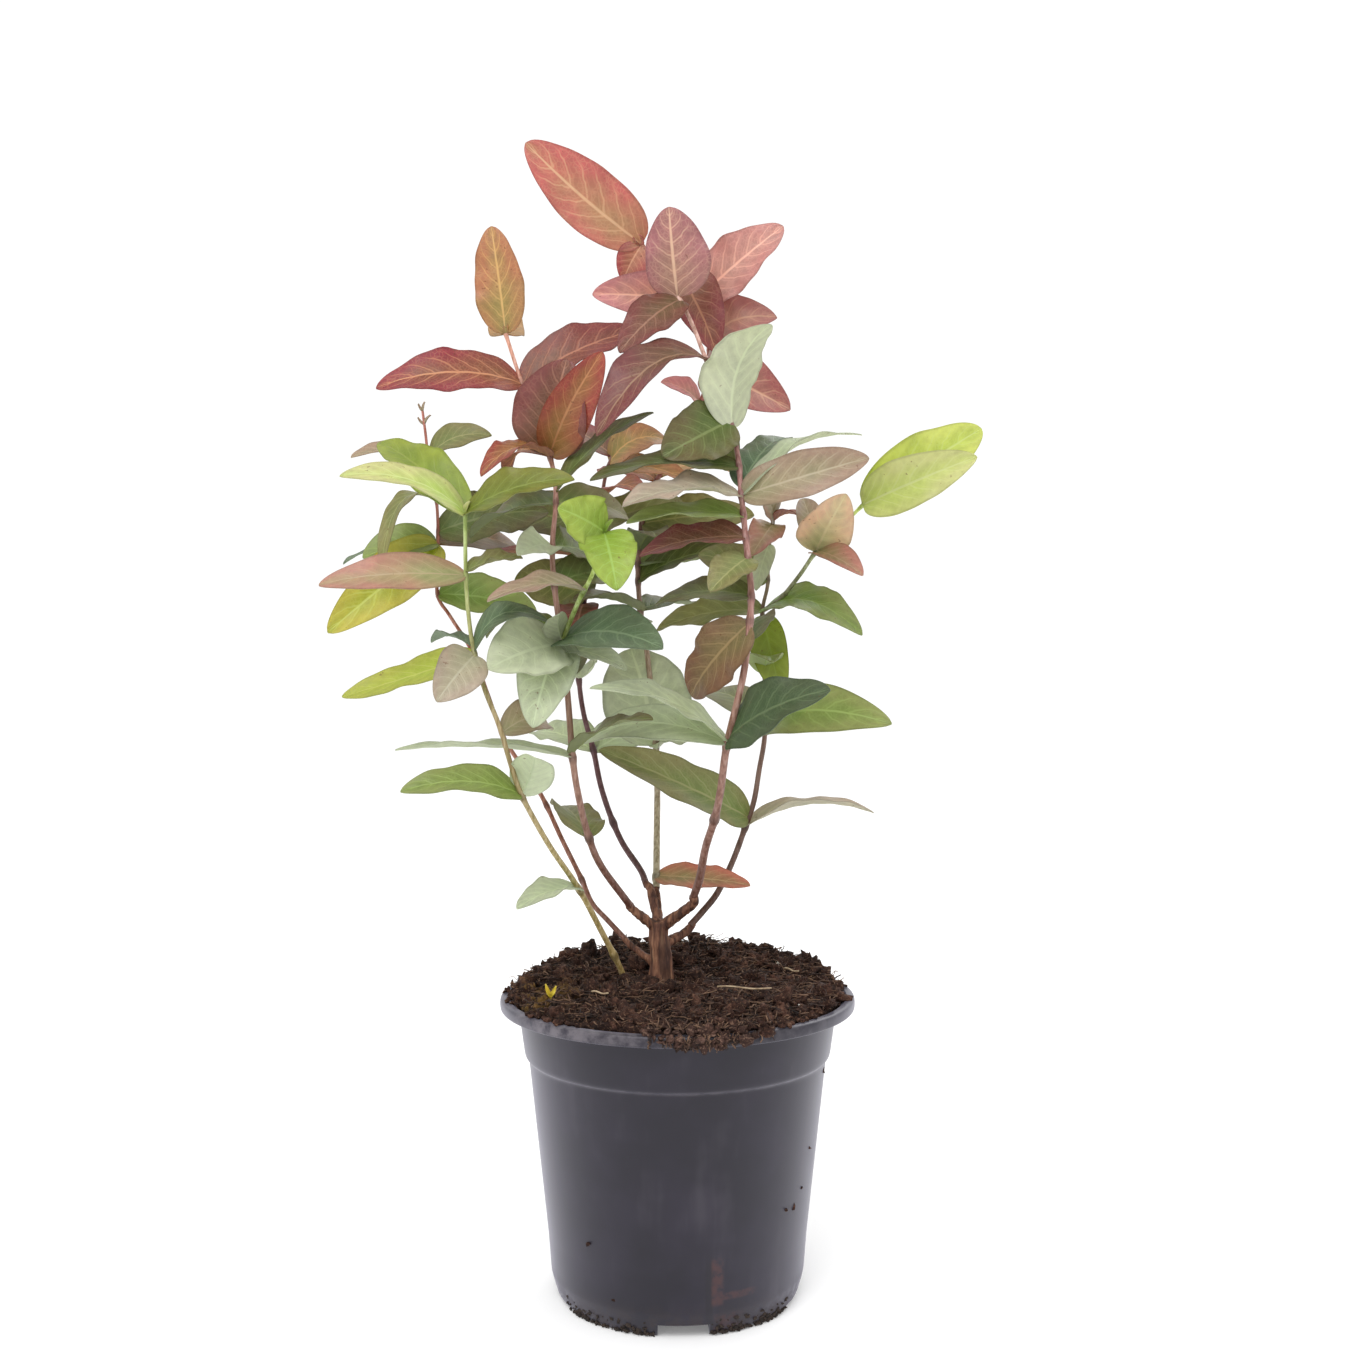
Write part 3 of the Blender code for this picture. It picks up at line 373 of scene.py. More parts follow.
stems = {
    "stem_gold_tip": {
        "fork": trunkFork,
        "radius": (1.35, 0.65),
        "colours": ((104, 72, 62), (150, 116, 100), (152, 112, 100), (206, 150, 128)),
        "path": [(-18, -8, 144), (-27, -20, 159), (-31, -26, 170), (-34, -32, 184), (-36, -36, 199),
                 (-38, -38, 226), (-42, -36, 257), (-43, -33, 272), (-42, -30, 288), (-44, -26, 302),
                 (-53, -18, 325), (-55, -16, 330), (-61, -13, 348)],
        "leaves": [
            (170, (-44, 12, 176), 19, 0, "olive"), (199, (-96, -42, 201), 16, 12, "sage", 0.06),
            (201, (-8, -66, 214), 14, 20, "dark"), (238, (-62, -60, 230), 27, 60, "sage"),
            (240, (-5, -72, 238), 24, 45, "teal"), (239, (-39, -54, 248), 10, 60, "sage"),
            (240, (-48, -54, 211), 21, 90, "sage"), (241, (-67, -22, 240), 13, 30, "dark", 0.25),
            (271, (-27, -12, 267), 18, 50, "dark"), (272, (-53, -52, 268), 14, 50, "sage"),
            (287, (-75, -5, 277), 20, 25, "dark"), (291, (-9, -30, 319), 12, 25, "dark"),
            (303, (-38, -32, 336), 29, 90, "plum"), (303, (-25, -42, 337), 18, 90, "rust"),
            (303, (-66, -45, 295), 16, 25, "rust", 0.2), (303, (-62, 0, 298), 12, 30, "rust", 0.2),
            (330, (-104, -30, 326), 20, 50, "crimson", 0.14), (330, (-14, 0, 351), 21, 45, "wine", 0.1),
            (348, (-66, -14, 386), 19, 90, "gold", 0.03), (348, (-64, 24, 370), 14, 180, "gold"),
            (287, (-18, -8, 283), 16, 55, "olive", 0.1), (258, (-20, -10, 262), 16, 50, "dark", 0.1),
            (226, (-40, 0, 230), 16, 20, "dark", 0.1), (237, (-17, -46, 230), 11, 35, "sage"),
        ],
        "shoots": [{
            "radius": (0.9, 0.6),
            "colours": ((150, 160, 96), (165, 185, 110), (175, 195, 110), (180, 200, 110)),
            "path": [(-39, -38, 240), (-33, -46, 253), (-28, -52, 262), (-24, -58, 275)],
            "leaves": [
                (275, (-38, -72, 282), 18, 72, "spring"), (275, (-19, -78, 256), 20, 20, "spring"),
                (256, (-62, -62, 252), 15, 20, "taupe", 0.12),
            ],
        }],
    },
    "stem_dark_back": {
        "fork": trunkFork,
        "radius": (1.25, 0.7),
        "colours": ((84, 58, 56), (96, 64, 68), (112, 78, 80), (140, 104, 92)),
        "path": [(-12, 8, 149), (-14, 12, 153), (-21, 20, 162), (-26, 27, 172), (-30, 33, 183),
                 (-33, 38, 196), (-37, 42, 210), (-39, 45, 223), (-40, 48, 239), (-37, 50, 255),
                 (-34, 52, 271), (-31, 52, 287), (-29, 50, 302), (-25, 48, 314)],
        "leaves": [
            (196, (-5, 80, 199), 20, 40, "sage"), (196, (-60, 80, 199), 20, 30, "sage"),
            (239, (-67, 90, 228), 20, 40, "sage"), (239, (-12, 90, 245), 20, 30, "dark"),
            (253, (-39, 15, 238), 16, 40, "plum"), (255, (-59, 100, 262), 20, 30, "dark"),
            (271, (-78, 20, 267), 14, 0, "rust"), (273, (-45, 103, 276), 18, 20, "dark"),
            (287, (-72, 80, 292), 18, 20, "dark"), (295, (-13, 10, 294), 14, 30, "rust"),
            (309, (-4, 50, 318), 19, 50, "gold", 0.3), (307, (5, 35, 300), 14, 30, "gold"),
            (311, (-49, 80, 326), 16, 30, "plum"), (283, (-76, 44, 286), 22, 60, "dark"),
            (283, (2, 36, 292), 20, 60, "olive"), (258, (-64, 44, 263), 23, 60, "olive"),
            (223, (-36, 12, 226), 16, 25, "sage", 0.1),
        ],
    },
    "stem_tall_back": {
        "fork": trunkFork,
        "radius": (1.3, 0.65),
        "colours": ((166, 156, 128), (146, 126, 106), (150, 96, 92), (222, 150, 122)),
        "path": [(-8, 12, 148), (-8, 22, 163), (-8, 34, 185), (-9, 42, 204), (-11, 48, 223),
                 (-13, 52, 239), (-15, 54, 250), (-16, 55, 269), (-14, 54, 287), (-9, 52, 301),
                 (1, 48, 316), (9, 40, 331), (12, 28, 348), (8, 18, 365), (-2, 12, 377),
                 (-11, 8, 382), (-13, 6, 384)],
        "leaves": [
            (150, (26, -5, 151), 14, 40, "amber", 0.02), (198, (-19, 58, 235), 37, 70, "sage"),
            (198, (10, 20, 202), 18, 30, "sage"), (250, (-40, 30, 254), 18, 25, "dark"),
            (250, (9, 85, 251), 18, 25, "dark"), (269, (-12, 100, 280), 18, 30, "dark"),
            (269, (19, 70, 273), 16, 20, "green"), (301, (-33, 90, 310), 18, 25, "rust"),
            (303, (24, 90, 310), 16, 20, "gold"), (331, (-6, 30, 338), 12, 50, "salmon"),
            (342, (41, 5, 324), 25, 85, "rose", 0.15), (349, (37, 14, 359), 24, 60, "rose", 0.3),
            (366, (-31, 5, 366), 19, 80, "salmon"), (366, (39, 8, 391), 22, 80, "salmon"),
            (377, (14, 2, 344), 21, 60, "wine", 0.12), (384, (-20, 7, 371), 13, 90, "coral"),
            (384, (-55, 0, 419), 25, 90, "coral", 0.04), (285, (30, 46, 288), 20, 60, "olive"),
            (262, (24, 42, 275), 18, 45, "dark"), (275, (-8, 16, 278), 16, 30, "dark", 0.1),
        ],
    },
    "stem_tall_front": {
        "fork": trunkFork,
        "radius": (1.5, 0.7),
        "colours": ((112, 80, 70), (152, 116, 102), (156, 110, 104), (218, 176, 158)),
        "path": [(6, -10, 147), (8, -15, 154), (10, -22, 166), (13, -30, 177), (15, -36, 188),
                 (17, -42, 204), (22, -46, 226), (24, -46, 240), (25, -45, 255), (24, -42, 267),
                 (22, -36, 289), (21, -32, 302), (19, -28, 313), (16, -22, 326), (10, -16, 339),
                 (6, -12, 350), (2, -9, 359), (0, -8, 362)],
        "leaves": [
            (205, (-28, -60, 225), 14, 18, "sage", 0.1), (204, (-33, -24, 203), 16, 36, "sage", 0.18),
            (206, (49, -72, 224), 24, 50, "deep"), (246, (4, -30, 220), 22, 60, "umber"),
            (254, (-8, -25, 252), 16, 40, "dark"), (267, (11, -55, 256), 16, 40, "olive"),
            (274, (-13, -40, 269), 16, 40, "plum"), (282, (-17, -47, 279), 14, 32, "green"),
            (289, (-18, -52, 285), 20, 30, "ash"), (289, (65, -42, 301), 18, 70, "taupe"),
            (289, (64, -22, 313), 14, 15, "sage", 0.12), (291, (40, 5, 314), 18, 40, "teal"),
            (299, (-30, -35, 295), 16, 40, "dark"), (313, (31, -44, 346), 24, 2, "sage", 0.2),
            (315, (-5, -38, 302), 24, 70, "dark"), (313, (16, -15, 300), 12, 60, "olive"),
            (338, (-27, -45, 309), 23, 50, "plum", 0.22), (362, (-3, -16, 392), 25, 90, "mauve", 0.06),
            (361, (-20, -28, 339), 18, 60, "plum"), (240, (30, 2, 244), 16, 20, "dark", 0.1),
        ],
    },
    "stem_right": {
        "fork": trunkSideFork,
        "radius": (1.3, 0.6),
        "colours": ((86, 62, 52), (118, 92, 80), (124, 96, 84), (150, 140, 104)),
        "path": [(6, 9, 134), (9, 11, 137), (15, 14, 144), (21, 17, 156), (26, 20, 169),
                 (29, 21, 178), (31, 21, 190), (33, 20, 203), (33, 20, 220), (33, 20, 239),
                 (32, 20, 250), (34, 20, 260), (34, 20, 271), (36, 20, 284)],
        "leaves": [
            (171, (-28, -15, 200), 21, 62, "olive"), (168, (75, 25, 173), 15, 12, "ash", 0.12),
            (206, (75, -28, 210), 22, 62, "green", 0.14), (206, (9, 80, 216), 18, 30, "olive"),
            (250, (67, -5, 241), 19, 35, "green", 0.22), (250, (-8, 35, 242), 20, 32, "olive"),
            (248, (39, 12, 218), 15, 70, "fern"), (275, (29, 8, 258), 8, 50, "sage"),
            (284, (47, 12, 284), 8, 10, "rust", 0.2), (284, (30, 8, 296), 12, 50, "taupe"),
            (283, (27, 0, 270), 14, 50, "blush"), (262, (8, 22, 272), 18, 55, "olive"),
            (226, (34, -16, 232), 14, 25, "green", 0.1),
        ],
        "shoots": [{
            "radius": (0.9, 0.6),
            "colours": ((118, 112, 84), (140, 142, 108), (160, 170, 120), (185, 205, 110)),
            "path": [(32, 20, 250), (38, 14, 254), (45, 6, 263), (51, 0, 272), (59, -3, 280),
                     (67, -5, 288)],
            "leaves": [
                (271, (60, -14, 291), 21, 90, "peach"), (271, (64, -28, 263), 13, 65, "blush"),
                (272, (47, 18, 292), 12, 60, "taupe"), (288, (104, -28, 303), 20, 78, "paleLime"),
                (288, (112, 8, 317), 23, 80, "lime", 0.12),
            ],
        }],
    },
    "stem_left_front": {
        "radius": (1.2, 0.65),
        "colours": ((188, 158, 104), (166, 150, 104), (150, 132, 96), (165, 186, 112)),
        "path": [(-15, 8, 96), (-18, 4, 107), (-21, 0, 118), (-27, -10, 133), (-35, -24, 152),
                 (-44, -38, 169), (-52, -50, 187), (-55, -54, 197), (-59, -55, 211), (-64, -53, 223),
                 (-68, -50, 236), (-70, -48, 248), (-71, -47, 262), (-71, -48, 282)],
        "leaves": [
            (151, (-54, -48, 149), 14, 35, "sage"), (187, (-90, -67, 190), 16, 40, "green", 0.14),
            (187, (-46, -66, 202), 16, 270, "sage"), (235, (-113, -45, 220), 15, 45, "citron", -0.03),
            (235, (-78, -66, 220), 18, 80, "ash"), (236, (-43, -48, 246), 12, 30, "teal", 0.35),
            (238, (-86, -25, 240), 8, 0, "teal"), (261, (-118, -58, 259), 15, 45, "blush", 0.05),
            (262, (-52, -45, 267), 12, 30, "olive"), (282, (-109, -64, 294), 15, 50, "paleLime", 0.15),
            (282, (-105, -20, 309), 18, 40, "fern"), (282, (-34, -62, 293), 16, 40, "moss"),
        ],
    },
    "stem_left_back": {
        "fork": trunkBaseFork,
        "radius": (1.0, 0.5),
        "colours": ((118, 80, 66), (150, 100, 82), (150, 96, 80), (186, 122, 110)),
        "path": [(-20, 4, 129), (-26, 6, 135), (-32, 9, 141), (-36, 13, 149), (-44, 18, 164),
                 (-52, 22, 180), (-61, 24, 193), (-67, 24, 203), (-72, 22, 218), (-78, 20, 235),
                 (-86, 20, 248), (-91, 21, 257), (-91, 24, 277), (-92, 26, 293), (-95, 27, 308),
                 (-96, 27, 317), (-97, 26, 326)],
        "leaves": [
            (203, (-50, 42, 204), 17, 50, "taupe", 0.25), (275, (-127, -4, 242), 23, 85, "citron", 0.1),
            (259, (-73, 70, 255), 16, 20, "olive"), (275, (-118, 15, 270), 19, 40, "green"),
            (274, (-131, 42, 270), 12, 5, "teal"), (275, (-64, 65, 274), 20, 48, "umber"),
            (292, (-107, -8, 264), 10, 20, "olive", 0.3), (308, (-70, 20, 316), 14, 45, "olive", 0.15),
            (309, (-121, 10, 307), 12, 40, "taupe"), (280, (-50, 34, 289), 22, 60, "dark"),
            (256, (-54, 30, 250), 18, 55, "green"),
        ],
    },
}


def smoothPath(points, spacing):  # a curve through the points, cut into even steps
    ends = [2 * Vector(points[0]) - Vector(points[1]), 2 * Vector(points[-1]) - Vector(points[-2])]
    spots = [ends[0]] + [Vector(point) for point in points] + [ends[1]]
    dense = []
    for index in range(1, len(spots) - 2):
        before, here, there, after = spots[index - 1:index + 3]
        for step in range(8):
            t = step / 8
            dense.append(0.5 * (2 * here + (there - before) * t
                                + (2 * before - 5 * here + 4 * there - after) * t * t
                                + (3 * here - before - 3 * there + after) * t ** 3))
    dense.append(spots[-2])
    lengths = [0.0]
    for first, second in zip(dense, dense[1:]):
        lengths.append(lengths[-1] + (second - first).length)
    count = max(2, round(lengths[-1] / spacing))
    result = []
    for number in range(count + 1):
        goal = lengths[-1] * number / count
        reached = (k for k, value in enumerate(lengths) if value >= goal - 1e-9)
        index = max(1, next(reached, len(lengths) - 1))
        part = (goal - lengths[index - 1]) / (lengths[index] - lengths[index - 1])
        result.append(dense[index - 1].lerp(dense[index], part))
    return result


def halfWidth(t):  # outline of an egg-shaped blade, as a part of the widest
    return math.sin(math.pi * clamped(t, 0.0, 1.0) ** 0.74) ** 0.56


def newSheet():
    return {key: [] for key in ("points", "faces", "slots", "tone", "flush", "veins", "leafSpace")}


def addPoint(sheet, point, tone, flush=blank, veins=blank, space=(0, 0, 0)):
    row = {"points": point * mm, "tone": tone, "flush": flush, "veins": veins, "leafSpace": space}
    for key, value in row.items():
        sheet[key].append(value)


def addFace(sheet, corners, slot):
    sheet["faces"].append(corners)
    sheet["slots"].append(slot)


def addTube(sheet, path, radii, shades, sides, slot):
    start = len(sheet["points"])
    rings, faces = tubeParts(path, radii, sides, Vector((1.0, 0.0, 0.0)), start)
    for number, point in enumerate(rings):
        addPoint(sheet, point, shades[number // sides])
    for corners in faces:
        addFace(sheet, corners, slot)


def varied(colour, draw, amount):
    hue, saturation, value = colorsys.rgb_to_hsv(*(c / 255 for c in colour))
    hue = (hue + draw.uniform(-0.012, 0.012)) % 1.0
    saturation = min(1.0, saturation * draw.uniform(1 - amount, 1 + amount))
    value = min(1.0, value * draw.uniform(1 - amount, 1 + amount))
    return paint(*(c * 255 for c in colorsys.hsv_to_rgb(hue, saturation, value)))


def addLeaf(sheet, base, tip, width, facing, toneName, seed, arch=leafForm["arch"]):
    form = leafForm
    draw = random.Random(seed)
    middleTone, flushTone, veinTone, underTone = [varied(tone, draw, 0.05) for tone in tones[toneName]]
    along = Vector(tip) - base
    length = along.length
    along.normalize()
    turn = math.radians(facing)
    look = Vector((0.0, -math.sin(turn), math.cos(turn)))
    upper = (look - look.dot(along) * along).normalized()
    across = along.cross(upper)
    fold = math.radians(form["fold"] * draw.uniform(0.75, 1.25))
    ripple = form["ripple"] * width * draw.uniform(0.4, 1.5)
    waves = draw.uniform(1.0, 2.3)
    shift = (draw.uniform(0.0, 6.3), draw.uniform(0.0, 6.3))
    twist = math.radians(draw.uniform(-form["twist"], form["twist"]))
    sway = length * draw.uniform(-form["sway"], form["sway"])
    lopsided = draw.uniform(-form["lopsided"], form["lopsided"])
    curl = length * draw.uniform(-form["curl"], form["curl"] * 0.4)
    rows, columns = form["stations"], form["columns"]
    slow, fast = form["waves"]
    start = len(sheet["points"])
    for side in (1, -1):
        for row in range(rows + 1):
            t = 0.5 * row / rows + 0.25 * (1 - math.cos(math.pi * row / rows))
            half = max(width / 2 * halfWidth(t), 0.3)
            rise = length * arch * 4 * t * (1 - t) + curl * t ** 4
            middle = base + along * (length * t) + upper * rise + across * (sway * math.sin(math.pi * t))
            spin = twist * math.sin(math.pi * t * 0.9)
            for column in range(columns + 1):
                v = 2 * column / columns - 1
                a = abs(v)
                x = v * half * (1 + lopsided * v) * math.cos(fold)
                z = half * math.sin(fold) * (math.sqrt(a * a + 0.012) - 0.11)
                wave = math.sin(waves * slow * t + shift[v > 0])
                wave += 0.4 * math.sin(waves * fast * t + shift[v < 0])
                z += ripple * a * a * wave * math.sin(math.pi * t)
                swell = math.sin(math.pi * veinPhase(t, a)) ** 2 * (1 - a * a)
                z += form["quilt"] * swell * min(1.0, width / form["fullWidth"])
                thick = form["thickness"] / 2
                if side < 0:
                    thick += form["rib"] * math.exp(-(a * half / form["ribWidth"]) ** 2) * (1 - 0.8 * t)
                point = (middle + across * (x * math.cos(spin) - z * math.sin(spin))
                         + upper * (x * math.sin(spin) + z * math.cos(spin) + side * thick))
                if side > 0:
                    addPoint(sheet, point, middleTone, flushTone, veinTone, (t, v, 1.0))
                else:
                    addPoint(sheet, point, underTone, underTone, veinTone, (t, v, 0.0))
    stride = columns + 1
    under = (rows + 1) * stride
    for row in range(rows):
        for column in range(columns):
            a = start + row * stride + column
            b = a + under
            addFace(sheet, (a, a + 1, a + 1 + stride, a + stride), 0)
            addFace(sheet, (b, b + stride, b + 1 + stride, b + 1), 0)
        for column, order in ((0, 1), (columns, -1)):
            a = start + row * stride + column
            addFace(sheet, (a, a + stride, a + stride + under, a + under)[::order], 0)
    for row, order in ((0, -1), (rows, 1)):
        for column in range(columns):
            a = start + row * stride + column
            addFace(sheet, (a, a + 1, a + 1 + under, a + under)[::order], 0)


stemForm = {
    "sides": 12,
    "spacing": 1.4,
    "nodeGap": 4.0,         # leaves nearer together than this share a node
    "nodeSwell": 0.38,      # how much thicker a stem is at a node
    "nodeLength": 1.5,
    "nodeDark": 0.45,
    "bareNodes": 27.0,      # a node with no leaf about this often on the bare foot
    "wobble": 0.05,
    "footOverlap": 2.0,
}

budForm = {
    "width": 2.2,
    "length": 5.0,
    "bareStem": "stem_left_back",    # the stem that ends in tiny buds
    "bareWidth": 0.9,
    "bareLength": 3.6,
    "bareGap": 5.0,
}


def stemNodes(branch, path):
    nodes = []
    for height in sorted(leaf[0] for leaf in branch["leaves"]):
        if not nodes or height - nodes[-1] > stemForm["nodeGap"]:
            nodes.append(height)
    height = nodes[0] - stemForm["bareNodes"]
    while height > path[0].z + 8:
        nodes.append(height)
        height -= stemForm["bareNodes"]
    return nodes


def mixedShade(colours, part):
    place = clamped(part, 0.0, 0.9999) * (len(colours) - 1)
    index = int(place)
    share = place - index
    return [(1 - share) * a + share * b for a, b in zip(colours[index], colours[index + 1])]


def addStem(sheet, name, branch):
    form = stemForm
    path = smoothPath(branch["path"], form["spacing"])
    nodes = stemNodes(branch, path)
    first, last = branch["radius"]
    radii, shades = [], []
    for index, point in enumerate(path):
        part = index / (len(path) - 1)
        near = min(abs(point.z - height) for height in nodes)
        swell = math.exp(-(near / form["nodeLength"]) ** 2)
        wobble = 1 + form["wobble"] * noise.noise(point * 0.35)
        radii.append((first + (last - first) * part) * (1 + form["nodeSwell"] * swell) * wobble)
        dark = 1 - form["nodeDark"] * math.exp(-((near - 0.5) / 0.7) ** 2)
        shade = paint(*mixedShade(branch["colours"], part))
        shades.append(tuple(c * dark for c in shade[:3]) + (1.0,))
    if "fork" in branch:
        path = [path[0] - (path[1] - path[0]).normalized() * form["footOverlap"]] + path
        radii = [radii[0]] + radii
        shades = [shades[0]] + shades
    addTube(sheet, path, radii, shades, form["sides"], 1)
    finer = smoothPath(branch["path"], 1.5)
    for number, (height, tip, width, facing, toneName, *arch) in enumerate(branch["leaves"]):
        base = min(finer, key=lambda point: abs(point.z - height))
        addLeaf(sheet, base, tip, width, facing, toneName, f"{name} {number}", *arch)
    highest = max(branch["leaves"], key=lambda leaf: leaf[0])
    addBud(sheet, path, highest[4], name)
    for number, shoot in enumerate(branch.get("shoots", [])):
        addStem(sheet, f"{name} shoot {number}", shoot)


def addBud(sheet, path, toneName, name):  # two small leaves not yet open, at the tip of each stem
    tip = path[-1]
    along = (tip - path[-3]).normalized()
    draw = random.Random(name + " bud")
    width, length, starts = budForm["width"], budForm["length"], [tip]
    if name == budForm["bareStem"]:
        width, length = budForm["bareWidth"], budForm["bareLength"]
        starts.append(tip - along * budForm["bareGap"])
    for number, start in enumerate(starts):
        for side in (-1, 1):
            lean = side * draw.uniform(0.3, 0.45) * (1 + number)
            way = (along + Vector((lean, draw.uniform(-0.2, 0.2), 0.0))).normalized()
            end = start + way * length * draw.uniform(0.8, 1.2)
            addLeaf(sheet, start, end, width, 45, toneName, f"{name} bud {number} {side}", 0.15 * side)


def finishSheet(sheet, name, materials):
    mesh = newMesh(name, sheet["points"], sheet["faces"], outward=False)
    for key, kind, value in (("tone", "FLOAT_COLOR", "color"), ("flush", "FLOAT_COLOR", "color"),
                             ("veins", "FLOAT_COLOR", "color"), ("leafSpace", "FLOAT_VECTOR", "vector")):
        layer = mesh.attributes.new(key, kind, "POINT")
        layer.data.foreach_set(value, [number for row in sheet[key] for number in row])
    for material in materials:
        mesh.materials.append(material)
    mesh.polygons.foreach_set("material_index", sheet["slots"])
    faceOutward(mesh)
    mesh.shade_smooth()
    mesh.set_sharp_from_angle(angle=math.radians(50))
    return linked(name, mesh)


def pieceName(node):  # stem_gold_tip becomes goldTipStem
    first, *others = node.split("_")[1:]
    return first + "".join(word.title() for word in others) + "Stem"


for node, branch in stems.items():
    sheet = newSheet()
    addStem(sheet, node, branch)
    piece = finishSheet(sheet, pieceName(node), [leafMaterial, stemMaterial])
    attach(piece, "root")
    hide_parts(node)
print("leafy stems made")

crownForm = {
    "voxel": 0.45,
    "sides": 16,
    "fissure": 0.35,
    "lump": 0.35,
    "flare": 0.75,          # how much thicker the trunk is at the soil
    "flareHeight": 112.0,
    "flareLength": 6.0,
    "armStart": 1.5,        # radius of an arm at the fork, for a stem of 1
    "armTaper": 0.42,
}


def makeCrown():
    form = crownForm
    sheet = newSheet()
    first, last = trunk["radius"]

    def addArm(path, radii):
        addTube(sheet, path, radii, [blank] * len(path), form["sides"], 0)

    path = smoothPath(trunk["path"], 1.5)
    radii = []
    for index, point in enumerate(path):
        flare = form["flare"] * math.exp(-((point.z - form["flareHeight"]) / form["flareLength"]) ** 2)
        radii.append(first + (last - first) * index / (len(path) - 1) + flare)
    addArm(path, radii)
    for branch in stems.values():
        if "fork" not in branch:
            continue
        foot, after = smoothPath(branch["path"], 16.0)[:2]
        along = (after - foot).normalized()
        path = smoothPath([Vector(branch["fork"]), foot - along * 5.0, foot - along * 0.3], 1.0)
        parts = [index / (len(path) - 1) for index in range(len(path))]
        addArm(path, [branch["radius"][0] * (form["armStart"] - form["armTaper"] * part) for part in parts])
    crown = finishSheet(sheet, "woodyCrown", [barkMaterial])
    remesh = crown.modifiers.new("fuse", "REMESH")
    remesh.mode = "VOXEL"
    remesh.voxel_size = form["voxel"] * mm
    applyModifiers(crown)
    moves = []
    for vertex in crown.data.vertices:
        place = vertex.co / mm
        grain = noise.noise(Vector((place.x * 0.9, place.y * 0.9, place.z * 0.16)))
        lump = noise.noise(place * 0.22)
        moves.append(vertex.normal * (form["fissure"] * grain + form["lump"] * lump) * mm)
    for vertex, move in zip(crown.data.vertices, moves):
        vertex.co += move
    crown.data.shade_smooth()
    return crown


crown = makeCrown()
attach(crown, "root")
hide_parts("woody_crown")
print("crown made")

# The pot, in millimetres.
pot = {
    "rim": 65.0,
    "height": 109.5,
    "lip": 4.2,
    "collar": 58.2,
    "step": 56.0,
    "stepHeight": 87.6,
    "stepInset": 1.4,
    "shoulder": 47.6,
    "shoulderHeight": 22.0,
    "base": 44.6,
    "wall": 1.2,
    "sides": 176,
    "channels": 4,
    "channelTurn": -87.0,
    "channelWidth": 18.0,
    "channelHeight": 4.6,
    "channelStart": 15.0,
    "drainRadius": 4.0,
    "drainDistance": 35.0,
}

potLook = {
    "plastic": (16, 13, 20),
    "clouds": (30, 26, 36),       # lighter clouds in the plastic
    "tint": (246, 243, 255),      # colour of what it mirrors
    "specular": 0.43,
    "sheenTint": (232, 229, 255),
    "sheenWeight": 0.28,          # fine dust, which makes the sides paler
    "sheenRoughness": 0.5,
    # dust colour, also used for the painted highlight lines on the step and under the lip
    "dust": (126, 120, 124),
    "dirt": (46, 38, 33),
    "dots": (34, 30, 30),
    "stain": (86, 55, 47),
    "shadow": (20, 17, 20),
    "roughness": 0.33,
    # painted highlight on the step and under the lip, with some wear
    "wear": 0.3,
}


def makePotMaterial():
    look = potLook
    material, tree, place = startMaterial("blackPlastic")
    x, y, z = place.parts()
    clouds = place.noiseAt(34.0, 3.0)
    flow = place.stretched(1.0, 1.0, 0.1).noiseAt(110.0, 3.0)  # faint streaks up the wall
    smudges = place.noiseAt(170.0, 5.0, 0.65)
    dots = place.noiseAt(700.0, 2.0).between(0.7, 0.76)
    grain = place.noiseAt(2600.0, 2.0)

    lipDust = z.between(0.1045, 0.1065) * (smudges * 0.7 + clouds * 0.3).between(0.4, 0.62)
    lipDust = lipDust * (0.3 + x.between(0.02, -0.05) * 0.7)
    # the step, and the corner under the lip: a painted highlight line on each, with some wear
    ridge = z.band(0.0864, 0.0872, 0.0878, 0.0886) + z.band(0.1035, 0.1045, 0.105, 0.1062)
    wear = ridge * smudges.between(0.3, 0.6) * look["wear"]
    haze = (clouds * 0.5 + flow * 0.5).between(0.5, 0.75) * 0.1
    footDirt = z.between(0.014, 0.001) * smudges.between(0.4, 0.56)

    body = tree.mix(clouds.between(0.35, 0.7), paint(*look["plastic"]), paint(*look["clouds"]))
    # dust and haze, and the painted highlight lines on the ridges
    body = tree.mix(haze.larger(wear * 0.45).larger(lipDust * 0.55), body, paint(*look["dust"]))
    body = tree.mix(footDirt * 0.8, body, paint(*look["dirt"]))
    body = tree.mix(dots * 0.5, body, paint(*look["dots"]))

    # the rusty streak right of the front notch: a line up the wall and a short one to its right
    front = y.between(-0.03, -0.036)
    upright = x.band(0.0112, 0.0124, 0.0148, 0.0166) * z.band(0.0105, 0.0125, 0.026, 0.03)
    level = x.band(0.0145, 0.0165, 0.024, 0.0285) * z.band(0.0125, 0.0137, 0.0151, 0.0163)
    splash = x.band(0.012, 0.0135, 0.018, 0.025) * z.between(0.009, 0.007)
    marks = place.noiseAt(300.0, 4.0, 0.6)
    stain = front * (upright * marks.between(0.3, 0.6) * 0.8 + level * marks.between(0.36, 0.6) * 0.7
                     + splash * marks.between(0.4, 0.62) * 0.6)
    shadow = front * x.band(0.0092, 0.0102, 0.0118, 0.0128) * z.between(0.032, 0.025)
    body = tree.mix(shadow * 0.75, body, paint(*look["shadow"]))
    body = tree.mix(stain * 0.6, body, paint(*look["stain"]))

    soiled = footDirt + stain
    rough = look["roughness"] + (clouds - 0.5) * 0.1 + haze * 0.6 + lipDust * 0.2 + soiled * 0.3
    return endMaterial(material, body.skin(rough, look["specular"], {
        "Specular Tint": paint(*look["tint"]), "Sheen Weight": look["sheenWeight"],
        "Sheen Roughness": look["sheenRoughness"], "Sheen Tint": paint(*look["sheenTint"]),
        "Normal": (grain * 0.25 + flow * 0.4 + soiled * 0.5).bump(0.08, 0.3)}))


